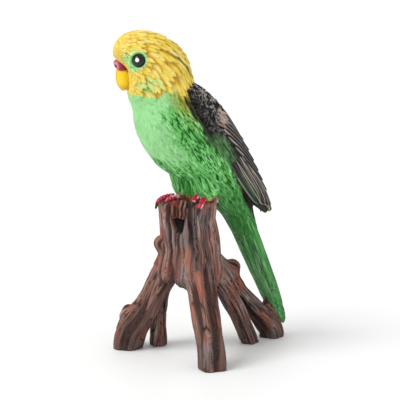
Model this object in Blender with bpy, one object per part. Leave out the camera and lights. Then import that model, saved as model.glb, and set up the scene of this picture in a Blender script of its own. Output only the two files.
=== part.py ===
"""Parrot figurine on a tree stump: one solid moulding.

The bird faces -Y and its left side is +X. Sizes below are in millimetres and become
metres when a mesh is made. Heights of the stump are above the floor, heights of the
bird are above the perch, and the stump's axis is the Z axis until the finished figure
is centred.
"""

import math

import bmesh
import bpy
import numpy as np
from mathutils import Vector

MM = 0.001
WELD = 0.000001

# Stump
PERCH = 52.0
STUMP_TOP_RADIUS = 9.2
STUMP_WAIST_RADIUS = 9.0
STUMP_BASE_RADIUS = 10.6
STUMP_UNDERSIDE = 22.6
BARK_RIDGES = 9
BARK_DEPTH = 0.55
ROOT_RIDGES = 5
ROOT_BARK_DEPTH = 0.36
ROOT_SUNK = 3.0
FLOOR_CUTTER = 200.0

# The way in which the trunk swells over its right and back roots
LEAN = np.array([0.57, 0.82])

# The right wing, tail feathers and thigh lie this far from a mirror image of the left
RIGHT_SIDE_SHIFT = np.array([0.14, -0.21, 0.17])

# Bird
NECK_AXIS_Y = -6.0
HEAD_TURN = 29.0
SCALLOP_ROWS = 15
SCALLOPS_ROUND = 8
SCALLOP_LIFT = 0.45
EYE_RADIUS = 2.1
EYE_APART = 9.9
EYE_PLACE = (-17.3, 46.3)
CERE_RADIUS = 1.9
CERE_APART = 1.2
CERE_OFF_MIDDLE = 0.07
CERE_PLACE = (-22.8, 44.0)
WING_THICKNESS = 3.2
BLADE_DEPTH = 1.1
TAIL_TOP_Y = 18.3
TAIL_TOP = -3.5
TAIL_TIP_Y = 39.4
TAIL_TIP = 4.4 - PERCH
TAIL_THINNING = 0.12
TOE_RADIUS = 0.95

# Rows of the bird's straight profile, from the face to the rump:
# turn of the section in degrees, half width, back y, back z, front y, front z
BODY_STATIONS = [
    (29, 0.0, -24.9, 47.0, -24.9, 47.0),
    (29, 4.6, -24.8, 49.0, -23.7, 45.7),
    (29, 7.5, -24.0, 51.1, -21.9, 44.3),
    (29, 9.4, -22.3, 53.1, -20.4, 42.6),
    (29, 10.7, -19.3, 54.6, -20.0, 40.0),
    (28, 11.3, -15.3, 55.0, -20.0, 37.3),
    (27, 11.5, -10.8, 54.1, -20.3, 35.1),
    (25, 11.4, -6.1, 51.7, -20.1, 33.5),
    (21, 11.3, -2.1, 47.8, -19.6, 32.1),
    (15, 11.4, -0.3, 42.6, -19.0, 30.3),
    (8, 11.8, 0.9, 37.2, -18.6, 28.3),
    (3, 12.4, 4.0, 32.6, -18.3, 25.4),
    (0, 13.0, 7.5, 27.8, -17.4, 22.2),
    (0, 13.4, 10.6, 23.0, -15.7, 18.8),
    (0, 13.5, 13.3, 18.2, -13.3, 15.3),
    (0, 13.2, 15.6, 13.2, -9.9, 11.6),
    (0, 12.4, 17.4, 8.2, -5.4, 8.4),
    (0, 10.8, 19.0, 3.4, 0.6, 5.2),
    (0, 8.6, 21.0, -1.2, 5.8, 1.2),
    (0, 6.6, 23.2, -5.5, 10.2, -2.9),
    (0, 5.4, 25.2, -9.5, 14.8, -7.1),
    (0, 3.8, 26.2, -12.5, 19.6, -10.8),
    (0, 0.0, 23.0, -12.6, 23.0, -12.6),
]

# Upper and lower bill on the turned head: y, z and radius
BILL = [
    (-20.4, 43.4, 0.6),
    (-22.0, 42.4, 2.0),
    (-22.3, 40.6, 2.2),
    (-22.3, 38.6, 2.0),
    (-22.2, 37.2, 1.5),
    (-22.0, 36.2, 0.7),
    (-21.9, 35.8, 0.1),
]
LOWER_BILL = [(-19.8, 38.4, 0.5), (-20.6, 37.4, 1.4), (-20.8, 36.2, 1.3), (-20.9, 35.4, 0.2)]

# Left thigh, from the belly to the stump: centre and radius
THIGH = [
    (5.4, 1.6, 18.0, 1.0),
    (5.9, 2.0, 14.0, 5.0),
    (6.0, 2.6, 9.0, 5.2),
    (5.8, 2.9, 4.6, 4.5),
    (5.3, 3.1, 1.6, 3.8),
    (5.1, 3.1, 0.2, 3.2),
    (5.1, 3.1, -1.0, 0.6),
]

# Ridge that carries both wings over the rump: y, z, half width and half depth
BACK_RIDGE = [
    (4.0, 30.0, 2.0, 1.5),
    (8.0, 25.0, 6.5, 5.0),
    (13.0, 17.0, 8.0, 6.0),
    (17.5, 9.5, 7.5, 6.0),
    (20.5, 3.0, 5.5, 5.0),
    (22.5, -1.5, 3.0, 3.0),
    (23.0, -3.0, 0.5, 0.5),
]

# Left wing: its edge along the back and its lower edge, from shoulder to tip
WING_BACK_EDGE = [
    (3.4, -4.0, 39.6),
    (2.2, 2.4, 35.6),
    (1.3, 9.2, 30.6),
    (1.0, 14.4, 24.2),
    (1.0, 18.9, 17.6),
    (1.3, 22.8, 10.8),
    (2.0, 26.0, 4.3),
    (3.2, 28.6, -1.8),
    (5.0, 29.8, -7.4),
]
WING_LOW_EDGE = [
    (9.6, -8.6, 38.6),
    (11.9, -6.2, 31.2),
    (13.0, -2.6, 24.0),
    (13.3, 2.4, 17.6),
    (12.8, 7.6, 11.8),
    (11.6, 12.2, 6.4),
    (9.8, 17.4, 1.2),
    (7.8, 22.8, -4.2),
    (5.3, 28.7, -8.0),
]
WING_BULGE = [1.4, 2.4, 3.0, 3.2, 3.1, 2.8, 2.3, 1.5, 0.2]

# Feathers of one wing: root and tip in the wing's own chart (along, across), half width,
# lift at the root and at the tip
SHOULDER_FEATHERS = [
    (0.04, 0.14 + 0.24 * k, 0.27, 0.16 + 0.24 * k, 2.8, 0.2, 0.9 + 0.1 * k) for k in range(4)
]
COVERT_FEATHERS = [
    (0.20, 0.18 + 0.22 * k, 0.45, 0.15 + 0.24 * k, 2.7, 0.1, 0.8 + 0.1 * k) for k in range(4)
]
BACK_EDGE_FEATHERS = [
    (0.30 + 0.07 * k, 0.30, 0.55 + 0.078 * k, 0.05 + 0.012 * k, 1.9, 0.0, 1.25) for k in range(5)
]
FLIGHT_FEATHERS = [
    (0.42, 0.42 + 0.15 * k, 0.98 - 0.045 * k, 0.30 + 0.17 * k, 1.7, 0.0, 0.75) for k in range(4)
]
WING_FEATHERS = FLIGHT_FEATHERS + BACK_EDGE_FEATHERS + COVERT_FEATHERS + SHOULDER_FEATHERS

# Tail feathers of one side, outermost first: share of the tail's length, distance from the
# middle at the rump and at the tip, half width, half depth
TAIL_FEATHERS = {
    "outer": (0.74, 4.4, 3.4, 2.0, 2.1),
    "second": (0.90, 2.8, 2.0, 1.9, 2.9),
    "middle": (1.0, 1.3, 0.9, 1.9, 2.8),
}

# Roots: centre line points with a radius at each, from the trunk to the floor
ROOTS = {
    "front_root": [
        (2.0, -0.5, 44.0, 2.2),
        (6.8, -1.4, 33.0, 4.3),
        (13.5, -2.8, 20.2, 4.5),
        (17.9, -3.8, 10.0, 4.4),
        (20.0, -4.3, 0.0, 4.5),
    ],
    "left_root": [
        (-1.0, -0.8, 42.0, 2.4),
        (-4.6, -3.7, 31.0, 4.6),
        (-10.3, -8.2, 17.2, 4.2),
        (-15.1, -12.1, 7.6, 4.8),
        (-16.9, -13.4, 0.0, 4.7),
    ],
    "left_back_root": [
        (-2.0, 0.4, 35.0, 1.8),
        (-7.6, -1.0, 27.0, 3.2),
        (-12.2, -2.4, 18.0, 2.6),
        (-13.1, -2.9, 9.0, 2.4),
        (-13.4, -3.1, 0.0, 2.7),
    ],
    "right_root": [
        (0.6, 3.0, 34.0, 1.8),
        (1.4, 9.6, 26.0, 3.4),
        (1.6, 16.6, 15.8, 3.0),
        (1.7, 20.7, 8.0, 2.8),
        (1.8, 24.2, 0.0, 2.9),
    ],
    "back_root": [
        (0.0, 3.0, 37.0, 2.0),
        (-0.2, 10.6, 29.8, 3.6),
        (-0.6, 18.0, 21.6, 3.3),
        (-0.8, 26.0, 12.6, 3.0),
        (-0.6, 33.3, 5.0, 4.1),
        (-0.4, 35.1, 0.0, 4.0),
    ],
}

# Raised lip of bark along the front of the rim: direction from the stump's axis in degrees,
# half height and half thickness
RIM_LIP = [
    (-108.0, 0.4, 0.4),
    (-96.0, 1.5, 0.9),
    (-78.0, 2.0, 1.1),
    (-58.0, 2.0, 1.1),
    (-40.0, 1.6, 0.9),
    (-26.0, 0.4, 0.4),
]
RIM_LIP_INSET = 1.5
RIM_LIP_MIDDLE = PERCH - 0.6

# Toes: centre line points from the foot to the claw's tip
TOES = {
    "left_inner_toe": [(5.6, 2.6, 1.6), (7.0, 0.4, 1.3), (8.2, -1.8, 0.2), (8.8, -3.2, -2.0)],
    "left_outer_toe": [(6.6, 3.4, 1.4), (8.2, 1.8, 0.5), (9.3, -0.6, -1.8), (9.6, -2.8, -4.6)],
    "left_back_toe": [(6.0, 2.0, 1.4), (7.0, 4.6, 0.9), (6.8, 6.6, -1.0), (6.6, 7.2, -3.0)],
    "right_inner_toe": [(-3.6, -0.6, 1.2), (-2.4, -4.2, 1.2), (-2.2, -7.2, 0.5), (-2.4, -9.0, -1.8)],
    "right_outer_toe": [(-4.6, 0.0, 1.0), (-3.9, -4.4, 0.5), (-4.5, -7.3, -0.9), (-5.2, -8.4, -3.8)],
    "right_back_toe": [(-6.0, 2.0, 1.2), (-7.0, 4.6, 0.9), (-6.8, 6.6, -1.0), (-6.6, 7.2, -3.0)],
}

# Knots of the bark: centre and radii
KNOTS = {
    "trunk_knot": ((-4.9, -7.2, 36.6), (2.6, 2.5, 3.0)),
    "left_root_knot": ((-15.8, -13.7, 11.9), (2.7, 2.9, 3.3)),
    "back_root_knot": ((0.2, 17.8, 26.7), (3.2, 3.2, 3.4)),
    "rim_knot": ((7.3, 4.0, 51.2), (1.8, 1.8, 1.8)),
}

# Plumage between the thighs, and the web that ties the tail to the back root: centre and radii
LAP = ((0.0, 3.2, PERCH + 3.6), (5.0, 3.4, 6.2))
TAIL_WEB = ((0.0, 33.9, 9.8), (1.6, 3.0, 6.0))

# Hollows cut into the bark: centre and radii
HOLLOWS = {
    "carved_hollow": ((5.7, -8.1, 44.0), (2.6, 2.6, 3.4)),
    "trunk_knot_hollow": ((-1.7, -9.9, 36.6), (1.3, 1.5, 1.7)),
    "rim_knot_hollow": ((9.1, 3.1, 51.4), (0.9, 0.9, 1.0)),
}


def clear_scene():
    """Empties the scene, so that the file can be run again."""
    for obj in list(bpy.data.objects):
        bpy.data.objects.remove(obj)


def new_collection(name):
    """A new collection in the scene."""
    collection = bpy.data.collections.new(name)
    bpy.context.scene.collection.children.link(collection)
    return collection


def paint(name, colour, roughness=0.55):
    """A painted vinyl finish of one colour."""
    material = bpy.data.materials.new(name)
    material.use_nodes = True
    material.diffuse_color = (*colour, 1.0)
    shader = material.node_tree.nodes["Principled BSDF"]
    shader.inputs["Base Color"].default_value = (*colour, 1.0)
    shader.inputs["Roughness"].default_value = roughness
    shader.inputs["Metallic"].default_value = 0.0
    return material


def curve(stations, places):
    """Points of a smooth curve through the stations, at places from 0 to 1 along it."""
    points = np.asarray(stations, float)
    if points.ndim == 1:
        points = points[:, None]
    padded = np.vstack([2 * points[0] - points[1], points, 2 * points[-1] - points[-2]])
    place = np.clip(np.asarray(places, float), 0, 1) * (len(points) - 1)
    index = np.minimum(place.astype(int), len(points) - 2)
    t = (place - index)[..., None]
    before, start, end, after = (padded[index + k] for k in range(4))
    return 0.5 * (
        2 * start
        + (end - before) * t
        + (2 * before - 5 * start + 4 * end - after) * t**2
        + (3 * start - before - 3 * end + after) * t**3
    )


def unit(vectors):
    """Each vector at length one."""
    return vectors / np.maximum(np.linalg.norm(vectors, axis=-1, keepdims=True), 1e-9)


def add_object(collection, name, shape, material):
    """The finished shape as an object of the collection, outward and smooth."""
    bmesh.ops.recalc_face_normals(shape, faces=shape.faces)
    bmesh.ops.triangulate(shape, faces=shape.faces)
    mesh = bpy.data.meshes.new(name)
    shape.to_mesh(mesh)
    shape.free()
    mesh.materials.append(material)
    mesh.shade_smooth()
    obj = bpy.data.objects.new(name, mesh)
    collection.objects.link(obj)
    return obj


def skin(collection, name, material, rings):
    """A closed skin over rings of points; the first and last rings close to a point."""
    shape = bmesh.new()
    rows = [[shape.verts.new(Vector(p) * MM) for p in ring] for ring in rings[1:-1]]
    first = shape.verts.new(Vector(rings[0].mean(0)) * MM)
    last = shape.verts.new(Vector(rings[-1].mean(0)) * MM)
    sides = len(rings[0])
    for k in range(sides):
        after = (k + 1) % sides
        shape.faces.new((first, rows[0][k], rows[0][after]))
        shape.faces.new((last, rows[-1][after], rows[-1][k]))
        for low, high in zip(rows, rows[1:]):
            shape.faces.new((low[k], high[k], high[after], low[after]))
    return add_object(collection, name, shape, material)


def tube(collection, name, material, stations, sideways, sides, rows, relief=None):
    """A closed skin along a path of (x, y, z, half width, half depth) stations.

    relief(along, around) adds a radial offset in millimetres.
    """
    share = np.linspace(0, 1, rows)
    numbers = curve(stations, share)
    centres, width, depth = numbers[:, :3], numbers[:, 3:4], numbers[:, -1:]
    along = unit(np.gradient(centres, axis=0))
    side = np.broadcast_to(np.asarray(sideways, float), centres.shape)
    side = unit(side - (side * along).sum(1, keepdims=True) * along)
    back = np.cross(side, along)
    around = (np.arange(sides) + 0.5) * (2 * math.pi / sides)
    bump = 0 if relief is None else relief(share[:, None], around[None, :])
    across = (np.maximum(width, 0.05) + bump) * np.sin(around)
    outward = (np.maximum(depth, 0.05) + bump) * np.cos(around)
    rings = centres[:, None] + side[:, None] * across[..., None] + back[:, None] * outward[..., None]
    return skin(collection, name, material, rings)


def ball(collection, name, material, centre, radii, segments=11):
    """An ellipsoid, for eyes, knots and hollows."""
    shape = bmesh.new()
    bmesh.ops.create_uvsphere(shape, u_segments=segments, v_segments=segments // 2 + 1, radius=MM)
    bmesh.ops.scale(shape, vec=Vector(radii), verts=shape.verts)
    bmesh.ops.translate(shape, vec=Vector(centre) * MM, verts=shape.verts)
    return add_object(collection, name, shape, material)


def floor_cutter(collection, material):
    """A block whose top is the floor, which cuts the soles flat."""
    shape = bmesh.new()
    bmesh.ops.create_cube(shape, size=FLOOR_CUTTER * MM)
    bmesh.ops.translate(shape, vec=Vector((0, 0, -FLOOR_CUTTER / 2)) * MM, verts=shape.verts)
    return add_object(collection, "floor_cutter", shape, material)


def sided(points, side):
    """Points of the bird's left side, or their near mirror image on its right."""
    if side > 0:
        return points
    return points * np.array([-1.0, 1.0, 1.0]) + RIGHT_SIDE_SHIFT


def turned(y, z, turn):
    """A point of the straight profile, turned to the bird's right about the neck axis."""
    ahead = y - NECK_AXIS_Y
    return np.stack([ahead * np.sin(turn), NECK_AXIS_Y + ahead * np.cos(turn), PERCH + z], -1)


def on_head(side, y, z):
    """A place on the turned head: side is how far it lies to the bird's left."""
    angle = math.radians(HEAD_TURN)
    leftward = np.array([math.cos(angle), -math.sin(angle), 0.0])
    return turned(np.array(y), np.array(z), angle) + side * leftward


def scallops(along, around):
    """Rows of overlapping feather tips: each rises to its tip and drops to the next row."""
    row = along * SCALLOP_ROWS
    stagger = math.pi * np.floor(row)
    rise = row - np.floor(row)
    lobe = 0.5 + 0.5 * np.cos(SCALLOPS_ROUND * around + stagger)
    fade = np.clip(np.minimum(along / 0.15, (0.62 - along) / 0.2), 0, 1)
    mostly_back = 0.35 + 0.65 * np.clip(0.6 + np.cos(around), 0, 1)
    return SCALLOP_LIFT * rise * lobe * fade * mostly_back


def body(forms, plumage):
    """Head, neck, breast, belly and rump as one skin, from the face to the root of the tail."""
    share = np.linspace(0, 1, 3 * SCALLOP_ROWS + 1)
    rows = curve(BODY_STATIONS, share)
    turn, half_width = np.radians(rows[:, 0]), np.maximum(rows[:, 1:2], 0)
    back = turned(rows[:, 2], rows[:, 3], turn)
    front = turned(rows[:, 4], rows[:, 5], turn)
    centres, reach = (back + front) / 2, (back - front) / 2
    left = np.stack([np.cos(turn), -np.sin(turn), 0 * turn], 1)
    around = (np.arange(4 * SCALLOPS_ROUND) + 0.5) * (math.pi / (2 * SCALLOPS_ROUND))
    bump = scallops(share[:, None], around[None, :])[..., None]
    cosine, sine = np.cos(around)[None, :, None], np.sin(around)[None, :, None]
    rings = (
        centres[:, None]
        + (reach[:, None] + bump * unit(reach)[:, None]) * cosine
        + left[:, None] * (half_width[:, None] + bump) * sine
    )
    return skin(forms, "body", plumage, rings)


def wing_surface(along, across):
    """Points of the left wing's bowed outer surface."""
    top, low = curve(WING_BACK_EDGE, along), curve(WING_LOW_EDGE, along)
    run = curve(WING_BACK_EDGE, along + 0.01) - curve(WING_BACK_EDGE, along - 0.01)
    outward = unit(np.cross(low - top, run))
    bow = curve(WING_BULGE, along) * (4 * across * (1 - across))[..., None]
    return top + (low - top) * across[..., None] + outward * bow


def wing_point(along, across, side):
    """Points and outward directions of a folded wing, by shares of its length and width."""
    along, across = np.broadcast_arrays(np.asarray(along, float), np.asarray(across, float))
    step = 0.01
    lengthways = wing_surface(along + step, across) - wing_surface(along - step, across)
    widthways = wing_surface(along, across + step) - wing_surface(along, across - step)
    normal = unit(np.cross(widthways, lengthways))
    point = wing_surface(along, across) + np.array([0.0, 0.0, PERCH])
    return sided(point, side), normal * np.array([side, 1.0, 1.0])


def wing(forms, name, plumage, side):
    """The wing under its feathers: a bowed plate from the shoulder to the tip."""
    along = np.linspace(0.0, 0.985, 13)[:, None]
    across = np.linspace(0.0, 1.0, 6)[None, :]
    point, normal = wing_point(along, across, side)
    outer = point - 0.1 * normal
    inner = (point - WING_THICKNESS * normal)[:, ::-1]
    return skin(forms, name, plumage, np.concatenate([outer, inner], 1))


def wing_feather(forms, name, plumage, side, feather):
    """One ridged feather of a folded wing, lying on the plate with its tip raised."""
    start, start_across, end, end_across, half_width, low_lift, high_lift = feather
    share = np.array([0.0, 0.08, 0.45, 0.8, 0.95, 1.0])
    along = start + (end - start) * share
    across = start_across + (end_across - start_across) * share**0.8
    chord = np.linalg.norm(curve(WING_LOW_EDGE, along) - curve(WING_BACK_EDGE, along), axis=1)
    outline = np.minimum(0.75 + share, 1) * np.sqrt(np.clip(1 - share**5, 0, 1))
    spread = half_width * outline / np.maximum(chord, 2.0)
    lift = low_lift + (high_lift - low_lift) * share
    rings = []
    for offset, height in ((-1, -0.25), (0, 0.3), (1, -0.25)):
        point, normal = wing_point(along, across + offset * spread, side)
        rings.append(point + normal * (lift + height)[:, None])
    for offset in (0.7, -0.7):
        point, normal = wing_point(along, across + offset * spread, side)
        rings.append(point - normal * BLADE_DEPTH)
    return skin(forms, name, plumage, np.stack(rings, 1))


def back_fill(forms, plumage):
    """The solid ridge that carries both wings over the rump."""
    stations = [(0.0, y, PERCH + z, width, depth) for y, z, width, depth in BACK_RIDGE]
    return tube(forms, "back_fill", plumage, stations, (1, 0, 0), 14, 12)


def thigh(forms, name, plumage, side):
    """The feathered thigh on one side, from the belly down to the stump."""
    stations = [
        (*sided(np.array([x, y, PERCH + z]), side), radius, radius) for x, y, z, radius in THIGH
    ]
    return tube(forms, name, plumage, stations, (1, 0, 0), 11, 9)


def tail_feather(forms, name, plumage, side, feather):
    """One feather of the stepped tail, from the rump towards the back root."""
    reach, side_top, side_end, half_width, half_depth = feather
    slope = (TAIL_TIP - TAIL_TOP) / (TAIL_TIP_Y - TAIL_TOP_Y)
    stations = []
    for share, size in ((0, 0.7), (0.12, 1), (0.5, 1), (0.85, 0.85), (0.96, 0.55), (1.0, 0.1)):
        back = share * reach * (TAIL_TIP_Y - TAIL_TOP_Y)
        x = side_top + (side_end - side_top) * share
        thin = 1 - TAIL_THINNING * share * reach
        place = np.array([x, TAIL_TOP_Y + back, PERCH + TAIL_TOP + slope * back])
        stations.append((*sided(place, side), size * half_width, size * half_depth * thin))
    return tube(forms, name, plumage, stations, (1, 0, 0), 8, 9)


def bark(ridges, depth, seed):
    """Relief of long wavy ridges along a stem."""

    def relief(along, around):
        wander = 0.5 * np.sin(7.0 * along + seed) + 0.4 * np.sin(2.0 * around + 3 * seed)
        ridge = np.cos(ridges * around + 2.2 * wander + 2.0 * np.sin(5.0 * along + 2 * seed))
        lump = 0.6 * np.sin(3.0 * around + 9.0 * along + seed)
        return depth * (ridge + lump) * np.clip(np.minimum(along, 1 - along) * 12, 0, 1)

    return relief


def trunk(forms, wood):
    """The stump's trunk, from its underside to the sawn top."""
    profile = [
        (STUMP_UNDERSIDE - 0.6, 0.5, 0.0),
        (STUMP_UNDERSIDE, 5.0, 0.0),
        (STUMP_UNDERSIDE + 1.6, STUMP_BASE_RADIUS - 2.0, 0.3),
        (STUMP_UNDERSIDE + 5.0, STUMP_BASE_RADIUS, 0.6),
        (STUMP_UNDERSIDE + 11.0, STUMP_BASE_RADIUS - 0.8, 0.9),
        (PERCH - 13.0, STUMP_WAIST_RADIUS + 0.3, 0.5),
        (PERCH - 7.0, STUMP_WAIST_RADIUS, -0.2),
        (PERCH - 2.0, STUMP_TOP_RADIUS + 0.2, -0.2),
        (PERCH - 0.5, STUMP_TOP_RADIUS - 0.6, -0.2),
        (PERCH, 5.0, 0.0),
        (PERCH + 0.1, 0.5, 0.0),
    ]
    stations = [(*(LEAN * lean), z, radius, radius) for z, radius, lean in profile]
    relief = bark(BARK_RIDGES, BARK_DEPTH, 0.6)
    return tube(forms, "trunk", wood, stations, (1, 0, 0), 34, 17, relief)


def rim_lip(forms, wood):
    """The lip of bark that stands up along the front of the sawn top."""
    reach = STUMP_TOP_RADIUS - RIM_LIP_INSET
    stations = [
        (
            reach * math.cos(math.radians(angle)),
            reach * math.sin(math.radians(angle)),
            RIM_LIP_MIDDLE,
            half_height,
            half_thickness,
        )
        for angle, half_height, half_thickness in RIM_LIP
    ]
    return tube(forms, "rim_lip", wood, stations, (0, 0, 1), 8, 12)


def root(forms, name, wood, points, seed):
    """One root, from inside the trunk to below the floor, where it is cut off flat."""
    foot = points[-1]
    stations = [(*p, p[3]) for p in points]
    stations += [(foot[0] * 1.02, foot[1] * 1.02, -ROOT_SUNK, foot[3] * 0.8, foot[3] * 0.8)]
    across = (-foot[1], foot[0], 0.0)
    relief = bark(ROOT_RIDGES, ROOT_BARK_DEPTH, seed)
    return tube(forms, name, wood, stations, across, 13, 12, relief)


def face(forms, horn, soft, eye):
    """Bill, cere and eyes, on the turned head."""
    leftward = on_head(1, 0, 0) - on_head(0, 0, 0)
    for name, points, sides in (("bill", BILL, 12), ("lower_bill", LOWER_BILL, 10)):
        stations = [(*on_head(0, y, z), radius, radius) for y, z, radius in points]
        tube(forms, name, horn, stations, leftward, sides, 10)
    for name, side in (("left", 1), ("right", -1)):
        cere = on_head(side * CERE_APART + CERE_OFF_MIDDLE, *CERE_PLACE)
        ball(forms, f"{name}_cere", soft, cere, (CERE_RADIUS,) * 3, 10)
        ball(forms, f"{name}_eye", eye, on_head(side * EYE_APART, *EYE_PLACE), (EYE_RADIUS,) * 3)


def feet(forms, skin_paint):
    """Toes with claws that hold the rim of the stump."""
    for name, points in TOES.items():
        stations = [
            (x, y, PERCH + z, TOE_RADIUS * share, TOE_RADIUS * share)
            for (x, y, z), share in zip(points, (0.75, 1.0, 0.85, 0.25))
        ]
        tube(forms, name, skin_paint, stations, (-points[-1][1], points[-1][0], 0), 6, 8)


def combine(figure, forms, cutters, base):
    """One closed solid: every form joined to the base, then the cutters taken away."""
    forms.objects.unlink(base)
    figure.objects.link(base)
    for operation, operands in (("UNION", forms), ("DIFFERENCE", cutters)):
        modifier = base.modifiers.new(operation.lower(), "BOOLEAN")
        modifier.operation = operation
        modifier.operand_type = "COLLECTION"
        modifier.collection = operands
        modifier.solver = "EXACT"
        modifier.material_mode = "TRANSFER"
    graph = bpy.context.evaluated_depsgraph_get()
    mesh = bpy.data.meshes.new_from_object(base.evaluated_get(graph))
    base.modifiers.clear()
    base.data = mesh
    for collection in (forms, cutters):
        for obj in list(collection.objects):
            bpy.data.objects.remove(obj)
        bpy.data.collections.remove(collection)
    return base


def connected(vertex):
    """Every vertex that edges join to this one."""
    found, waiting = {vertex}, [vertex]
    while waiting:
        for edge in waiting.pop().link_edges:
            for other in edge.verts:
                if other not in found:
                    found.add(other)
                    waiting.append(other)
    return found


def tidy(obj):
    """Welds what the joins left, drops sealed pockets and puts the origin under the box."""
    shape = bmesh.new()
    shape.from_mesh(obj.data)
    bmesh.ops.remove_doubles(shape, verts=shape.verts, dist=WELD)
    bmesh.ops.dissolve_degenerate(shape, edges=shape.edges, dist=WELD / 2)
    outer = connected(max(shape.verts, key=lambda vertex: vertex.co.z))
    pockets = [vertex for vertex in shape.verts if vertex not in outer]
    bmesh.ops.delete(shape, geom=pockets, context="VERTS")
    bmesh.ops.triangulate(shape, faces=shape.faces)
    corners = np.array([v.co for v in shape.verts])
    low, high = corners.min(0), corners.max(0)
    middle = (low + high) / 2
    bmesh.ops.translate(shape, vec=(-middle[0], -middle[1], -low[2]), verts=shape.verts)
    shape.to_mesh(obj.data)
    shape.free()
    obj.data.shade_smooth()
    obj.data.set_sharp_from_angle(angle=math.radians(40))


def main():
    clear_scene()
    figure = new_collection("parrot_figurine")
    forms = new_collection("forms")
    cutters = new_collection("cutters")
    green = paint("green_plumage", (0.13, 0.47, 0.09))
    black = paint("black_wing", (0.03, 0.025, 0.02))
    wood = paint("brown_bark", (0.16, 0.07, 0.05))
    horn = paint("yellow_bill", (0.85, 0.55, 0.02), 0.4)
    pink = paint("pink_skin", (0.55, 0.05, 0.12), 0.45)
    eye = paint("black_eye", (0.005, 0.005, 0.005), 0.15)
    base = trunk(forms, wood)
    rim_lip(forms, wood)
    for seed, (name, points) in enumerate(ROOTS.items()):
        root(forms, name, wood, points, 1.3 * seed + 0.7)
    for name, (centre, radii) in KNOTS.items():
        ball(forms, name, wood, centre, radii)
    body(forms, green)
    back_fill(forms, green)
    for name, side in (("left", 1), ("right", -1)):
        thigh(forms, f"{name}_thigh", green, side)
        wing(forms, f"{name}_wing", black, side)
        for k, feather in enumerate(WING_FEATHERS):
            wing_feather(forms, f"{name}_wing_feather_{k}", black, side, feather)
        for place, feather in TAIL_FEATHERS.items():
            tail_feather(forms, f"{name}_{place}_tail_feather", green, side, feather)
    ball(forms, "lap", green, *LAP)
    ball(forms, "tail_web", wood, *TAIL_WEB)
    face(forms, horn, pink, eye)
    feet(forms, pink)
    for name, (centre, radii) in HOLLOWS.items():
        ball(cutters, name, wood, centre, radii, 10)
    floor_cutter(cutters, wood)
    figurine = combine(figure, forms, cutters, base)
    figurine.name = "parrot_on_stump"
    tidy(figurine)


if __name__ == "__main__":
    main()
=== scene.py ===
"""Painted parrot figurine on a tree stump: one solid PVC moulding in hand-brushed acrylics.

All shapes are worked out in millimetres in the design frame, where the stump's axis is
the Z axis and the bird faces -Y with its left side at +X. Heights of the bird are above
the perch. Meshes are moved to the row frame and turned to metres when they are made.
"""

import logging
import math
from collections.abc import Callable
from dataclasses import dataclass, field
from enum import Enum

import bpy
import numpy as np
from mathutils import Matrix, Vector


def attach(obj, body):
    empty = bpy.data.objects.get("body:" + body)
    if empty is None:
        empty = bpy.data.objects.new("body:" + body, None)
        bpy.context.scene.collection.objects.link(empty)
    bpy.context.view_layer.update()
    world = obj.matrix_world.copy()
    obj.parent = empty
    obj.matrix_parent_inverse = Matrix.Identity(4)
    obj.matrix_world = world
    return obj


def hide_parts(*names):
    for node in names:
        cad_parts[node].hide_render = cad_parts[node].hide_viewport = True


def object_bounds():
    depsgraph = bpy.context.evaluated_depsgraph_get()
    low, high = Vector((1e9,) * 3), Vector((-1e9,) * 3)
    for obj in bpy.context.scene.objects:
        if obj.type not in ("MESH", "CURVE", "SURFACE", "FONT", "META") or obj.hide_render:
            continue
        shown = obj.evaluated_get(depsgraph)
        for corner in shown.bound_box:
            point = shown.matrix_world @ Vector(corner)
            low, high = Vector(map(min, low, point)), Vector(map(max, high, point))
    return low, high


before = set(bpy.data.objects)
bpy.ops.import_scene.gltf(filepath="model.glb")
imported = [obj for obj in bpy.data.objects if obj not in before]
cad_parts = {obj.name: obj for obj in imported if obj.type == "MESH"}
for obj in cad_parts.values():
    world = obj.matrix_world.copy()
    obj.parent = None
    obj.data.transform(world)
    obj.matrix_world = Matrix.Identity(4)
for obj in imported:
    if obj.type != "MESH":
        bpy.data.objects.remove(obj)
CAD_BOX = [list(corner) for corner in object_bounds()]

LOG = logging.getLogger("figurine")
Array = np.ndarray

MM = 0.001
ROW_SHIFT = np.array([-1.4467, -7.5881, 0.0])
NODE = "parrot_on_stump"
PERCH = 52.0
TAU = 2 * math.pi

NECK_AXIS_Y = -6.0
HEAD_TURN = 29.0
RIGHT_SIDE_SHIFT = np.array([0.14, -0.21, 0.17])
LEAN = np.array([0.57, 0.82])

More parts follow.
